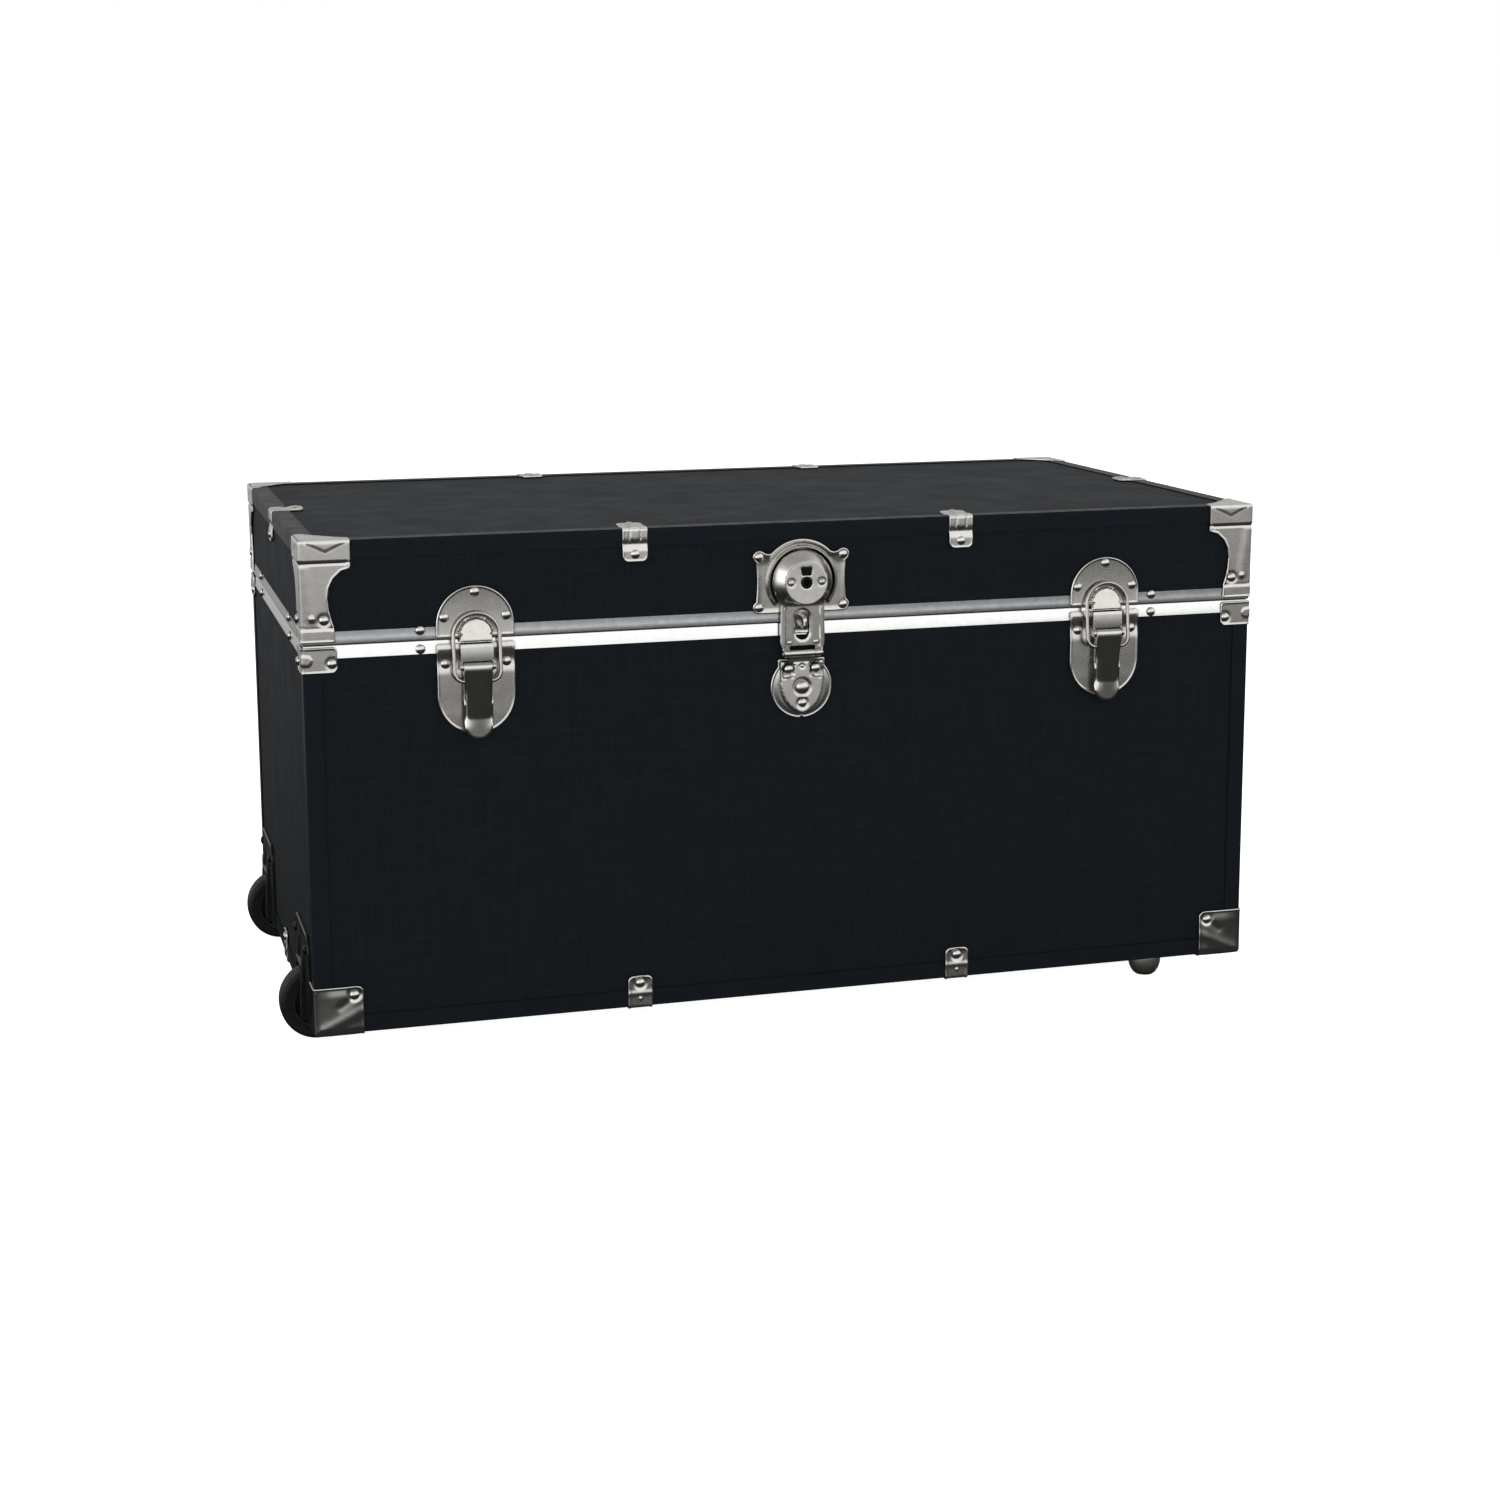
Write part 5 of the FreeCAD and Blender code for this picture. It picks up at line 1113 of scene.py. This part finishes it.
def lid_corner_w(a, b, gap):
    """Face of a lid corner, b being the depth below the lid's top: cap band, groove, leg and foot band."""
    cap = 0.65 * (1 - smooth((b - 15.6) / 0.9))
    groove = -0.45 * bump(abs(b - 17.2), 1.1)
    flap = flap_depth(a, b)
    cap += 0.22 * smooth(flap / 0.5) + (0.015 * flap if flap > 0 else 0.0) - 0.12 * bump(abs(flap), 0.9)
    ridge = 0.35 * bump(to_segment(a, b, (2.5, 20), (8, 57)), 7.0) * smooth((b - 17) / 3)
    foot = 0.35 * smooth((b - 67.2) / 0.7) - 0.25 * bump(abs(b - 66.6), 0.9)
    round_parts = ball(a, b, (8, 59), 2.0, 0.9) + well(a, b, (17, 60.5), 4.2, 1.6, 0.35)
    return CAP_W + cap + groove + ridge + foot + round_parts + border(gap) * (0.4 if b < 16 else 1.0)


def flap_depth(a, b):
    """Depth inside the folded triangle of the cap band, or less than 0 outside it."""
    left = (a - 5.0) * (8.5 - 1.5) - (b - 1.5) * (19.4 - 5.0)
    right = (35.5 - a) * (8.5 - 1.0) - (b - 1.0) * (35.5 - 19.4)
    return min(left / math.hypot(7.0, 14.4), right / math.hypot(7.5, 16.1), b - 1.0)


def top_cover_w(a, b, gap):
    """Top of a lid corner, creased along its diagonal."""
    crease = -0.25 * bump(abs(a - b) / math.sqrt(2), 0.8) * smooth(math.hypot(a, b) / 10)
    return CAP_W + border(gap) + crease


def lid_corners():
    """Corner caps of the lid: two waisted legs and the cover that joins them on top."""
    mesh = bmesh.new()
    leg = sheet(LID_SIDE, 1.25, folds=TWO_FOLDS)
    cover = sheet(TOP_COVER, 1.4, folds=TWO_FOLDS)
    for ends in case_corners(1):
        corner = corner_place(ends, FOLD_R)
        for axis in (0, 1):
            press(mesh, leg, face_place(corner, axis, 2), lid_corner_w, cap_back)
        press(mesh, cover, face_place(corner, 0, 1), top_cover_w, cap_back)
    piece("lid_corner_caps", mesh, SATIN, "lid", ["lid_corners"])


def clamp_w(a, b, gap):
    """Face of a body clamp: half-round boss by the fold, dished round the rivet; b is below the lid's top."""
    depth_in_boss = 4.0 - math.hypot(max(0.0, a - 3.0), b - 91.0)
    boss = 0.55 * smooth((depth_in_boss + 0.2) / 0.8)
    return CAP_W + border(gap) + boss + well(a, b, (22, 94), 3.9, 2.0, 0.35)


def body_clamps():
    """Clamps that hold the ends of the body's rim strip at the four corners."""
    mesh = bmesh.new()
    low, high, reach = 101.2, 81.2, 26
    flat = sheet(rounded([(0, high), (reach, high, 3.0), (reach, low, 4.0), (0, low)]), 1.1, folds=ONE_FOLD)
    for ends in case_corners(1):
        corner = corner_place(ends, FOLD_R)
        for axis in (0, 1):
            press(mesh, flat, face_place(corner, axis, 2), clamp_w, cap_back)
    piece("body_corner_clamps_pressed", mesh, SATIN, "case", ["body_corner_clamps"])


def bottom_face_w(a, b, gap):
    """Face of a bottom corner, (a, b) from the corner: pillowed, creased, and recessed round its rivet."""
    pillow = 0.45 * smooth(a / 16) * smooth(gap / 9) + 1.1 * max(0.0, 1 - b / CORNER) ** 1.5
    ridge = 0.28 * bulge(to_segment(a, b, (36, 18), (3, 3)), 4.0)
    crease = -0.25 * bulge(to_segment(a, b, (38, 34), (20, 22)), 3.0)
    relieved = (pillow + ridge + crease) * smooth(min(a, b) / 5)
    return CAP_W + relieved + well(a, b, (31, 32), 4.0, 3.0, 0.4) + border(gap)


def bottom_corners():
    """Three-sided caps on the bottom corners, cut short where a wheel housing starts."""
    mesh = bmesh.new()
    wheel_edge = 23.4           # the wheel housings' flanges start here
    for ends in case_corners(0):
        corner = corner_place(ends, FOLD_R)
        reach = wheel_edge if ends[0] == 0 else CORNER
        free = 5.0 if ends[0] else 1.0
        front_face = rounded([(0, 0), (CORNER, 0), (CORNER, CORNER, 5.0), (0, CORNER)])
        side_face = rounded([(0, 0), (reach, 0), (reach, CORNER, free), (0, CORNER)])
        under = rounded([(0, 0), (CORNER, 0), (CORNER, reach, free), (0, reach)])
        for outline, over, up in ((front_face, 0, 2), (side_face, 1, 2), (under, 0, 1)):
            flat = sheet(outline, 1.25, folds=TWO_FOLDS)
            press(mesh, flat, face_place(corner, over, up), bottom_face_w, cap_back)
    piece("bottom_corner_caps", mesh, POLISHED, "case", ["bottom_corners"], 45)


GLIDE_PROFILE = ((0, 0), (6.6, 0), (7.8, 0.3), (10.0, 2.2), (12.2, 6.0), (13.5, 10.2), (13.9, 15), (13.9, 19),
                 (13.2, 20.3), (13.2, 22.4), (0, 22.4))


def glides():
    """Domed steel cups that the right-hand end of the case stands on."""
    for end in ("front", "rear"):
        low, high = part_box(f"glide_{end}")
        foot = Vector(((low.x + high.x) / 2, (low.y + high.y) / 2, low.z))
        mesh = bmesh.new()
        turn(mesh, GLIDE_PROFILE, lambda a, b, w: foot + Vector((a, b, w)) * MM, sides=48)
        piece(f"glide_cup_{end}", mesh, GLIDE_STEEL, "case", [f"glide_{end}"], 45)


CLIP_HALF, CLIP_LEG, CLIP_RIVET, CLIP_W = 10.0, 26.0, 20.0, 1.0


def lid_clip_w(a, b, gap):
    """Face of a lid clip, b from the fold: grooved tongue by the fold, hollow, and a rounded end."""
    grooves = -0.6 * bulge(abs(a) - 4.3, 0.7) * (1 - smooth((b - 7.5) / 2.5))
    tongue = 0.5 * smooth((4.3 - abs(a)) / 1.5) * (1 - smooth((math.hypot(a, max(0.0, b - 6)) - 3.2) / 1.4))
    hollow = -0.75 * bulge(b - 12.0, 2.6)
    lobe = 0.35 * smooth((b - 14.5) / 3)
    return CLIP_W + grooves + tongue + hollow + lobe + border(gap)


def bottom_clip_w(a, b, gap):
    """Face of a bottom clip: raised rims, dished round the rivet, with a pimple by the fold."""
    rims = 0.5 * bump(abs(gap - 1.2), 1.5)
    dish = well(a, b, (0, CLIP_RIVET), 4.2, 2.4, 0.6)
    band = 0.4 * bulge(b - 11.5, 2.0)
    return CLIP_W + rims + dish + band + ball(a, b, (0, 7), 1.4, 0.7)


def edge_clips(name, node_name, z_end, body, face):
    """Clips folded over the long and short edges of the case at one end of Z."""
    mesh = bmesh.new()
    half, leg = CLIP_HALF, CLIP_LEG
    outline = rounded([(-half, 0), (half, 0), (half, leg, 4.5), (-half, leg, 4.5)])
    flat = sheet(outline, 0.95, folds=((1, 0.0),))
    for low, high in solids(node_name):
        middle = (low + high) / 2
        over = 0 if high.x - low.x < CLIP_LEG * MM - MM else 1   # a clip is narrower than its legs are long
        away = 1 - over
        ends = [None, None, z_end]
        ends[away] = int(middle[away] > (LOW[away] + HIGH[away]) / 2)
        corner = corner_place(ends, FOLD_R, middle[over])
        for up in (away, 2):
            press(mesh, flat, face_place(corner, over, up), face, cap_back)
    piece(name, mesh, SATIN, body, [node_name])


# ------------------------------------------------------------ assembly

rims()
for name, body in (("body_trim_rivets", "case"), ("body_hardware_rivets", "case"),
                   ("lid_trim_rivets", "lid"), ("lid_hardware_rivets", "lid")):
    rivet_set(name, body)
strike_plate()
hasp_shell()
hasp_cover()
plug()
lower_plate()
for side in ("left", "right"):
    low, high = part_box(f"latch_catch_{side}")
    x = (low.x + high.x) / 2
    catch_plate(side, x)
    base_plate(side, x)
    lever(side, x)
    bail(side, x)
lid_corners()
body_clamps()
bottom_corners()
glides()
edge_clips("lid_clips", "lid_edge_clips", 1, "lid", lid_clip_w)
edge_clips("bottom_clips", "bottom_edge_clips", 0, "case", bottom_clip_w)


# ------------------------------------------------------------ studio

EYE = Vector((-0.57882, -2.07547, 0.64598))
YAW, PITCH, ROLL = 0.2801, 0.1709, -0.0041      # radians: to the right, down, and about the line of sight
LENS, SENSOR, SHIFT = 59.62, 36.0, -0.07


def camera():
    """Camera fitted to the case's corners in the photograph."""
    data = bpy.data.cameras.new("camera")
    data.lens = LENS
    data.sensor_width = SENSOR
    data.shift_y = SHIFT
    data.clip_end = 200.0
    made = bpy.data.objects.new("camera", data)
    ahead = Vector((math.sin(YAW) * math.cos(PITCH), math.cos(YAW) * math.cos(PITCH), -math.sin(PITCH)))
    level = ahead.cross(Vector((0, 0, 1))).normalized()
    upright = level.cross(ahead)
    right = level * math.cos(ROLL) + upright * math.sin(ROLL)
    up = upright * math.cos(ROLL) - level * math.sin(ROLL)
    made.matrix_world = Matrix((right, up, -ahead)).transposed().to_4x4()
    made.location = EYE
    bpy.context.scene.collection.objects.link(made)
    bpy.context.scene.camera = made


def softbox(name, place, target, size, power, shows):
    """Rectangular light at a place, turned to a target; shows says whether metal mirrors it."""
    data = bpy.data.lights.new(name, "AREA")
    data.shape = "RECTANGLE"
    data.size, data.size_y = size
    data.energy = power
    made = bpy.data.objects.new(name, data)
    made.location = place
    made.rotation_mode = "QUATERNION"
    made.rotation_quaternion = (Vector(target) - Vector(place)).to_track_quat("-Z", "Y")
    made.visible_glossy = shows
    bpy.context.scene.collection.objects.link(made)


# brightness of the studio by height, from straight down (0) over the horizon (0.5) to straight up (1)
FRONT_GLOW = ((0.0, 0.03), (0.35, 0.04), (0.40, 0.15), (0.435, 0.46), (0.475, 1.25), (0.78, 1.25),
              (0.90, 0.45), (1.0, 0.33))
LEFT_LIFT, RIGHT_DROP = 0.06, -0.035     # the glow starts lower on the left and higher on the right
BACK_GLOW = ((0.0, 0.02), (0.38, 0.02), (0.43, 0.42), (0.5, 0.68), (0.62, 0.52), (0.8, 0.6), (1.0, 0.5))
FLOOR_GLOW = 0.96
WHITE = (1.0, 1.0, 1.0, 1.0)


def glow(tree, height, stops):
    """Grey level along a ramp of (height, level) stops."""
    ramp = node(tree, "ValToRGB", {"Fac": height})
    while len(ramp.color_ramp.elements) < len(stops):
        ramp.color_ramp.elements.new(0.5)
    for stop, (place, level) in zip(ramp.color_ramp.elements, stops):
        stop.position = place
        stop.color = (level, level, level, 1.0)
    return ramp.outputs["Color"]


def surroundings():
    """White to the camera. Reflections see a dark floor, bright walls in front and greyer walls behind."""
    world = bpy.data.worlds.new("studio")
    bpy.context.scene.world = world
    world.use_nodes = True
    tree = world.node_tree
    parts = node(tree, "SeparateXYZ", {0: node(tree, "TexCoord").outputs["Generated"]})
    height = spread(tree, parts.outputs[2], 0.0, 1.0, -1.0, 1.0)
    behind = spread(tree, parts.outputs[1], 0.0, 1.0, -0.35, 0.25)
    lift = combine(tree, "ADD", spread(tree, parts.outputs[0], LEFT_LIFT, 0.0, -0.85, -0.45),
                       spread(tree, parts.outputs[0], 0.0, RIGHT_DROP, 0.15, 0.5))
    raised = combine(tree, "ADD", height, lift)
    level = node(tree, "Mix", {"Factor": behind, "A": glow(tree, raised, FRONT_GLOW),
                               "B": glow(tree, height, BACK_GLOW)}, data_type="RGBA").outputs["Result"]
    seen = node(tree, "LightPath").outputs["Is Camera Ray"]
    level = node(tree, "Mix", {"Factor": seen, "A": level, "B": WHITE}, data_type="RGBA").outputs["Result"]
    back = tree.nodes["Background"]
    tree.links.new(level, back.inputs["Color"])
    back.inputs["Strength"].default_value = 1.0


def floor():
    """Wide sheet of white paper that glows a little, so that shadows stay faint."""
    half = 30.0
    data = bpy.data.meshes.new("floor")
    square = [(-half, -half, 0), (half, -half, 0), (half, half, 0), (-half, half, 0)]
    data.from_pydata(square, [], [(0, 1, 2, 3)])
    made = bpy.data.objects.new("floor", data)
    bpy.context.scene.collection.objects.link(made)
    finish, tree, shader = new_material("floor_paper", Roughness=0.9, Specular_IOR_Level=0.0,
                                        Emission_Color=WHITE, Emission_Strength=FLOOR_GLOW)
    paper = tint(tree, noise(tree, 0.5), (0.60, 0.60, 0.60), (0.62, 0.62, 0.62))
    tree.links.new(paper, shader.inputs["Base Color"])
    data.materials.append(finish)
    made.visible_glossy = False


camera()
surroundings()
floor()
softbox("overhead", (-0.3, 0.2, 2.4), (0, 0, 0.2), (2.2, 1.6), 26.0, False)
softbox("left_side", (-2.4, -0.9, 0.9), (0, 0, 0.3), (1.0, 1.4), 6.0, True)
bpy.context.scene.view_settings.view_transform = "Standard"
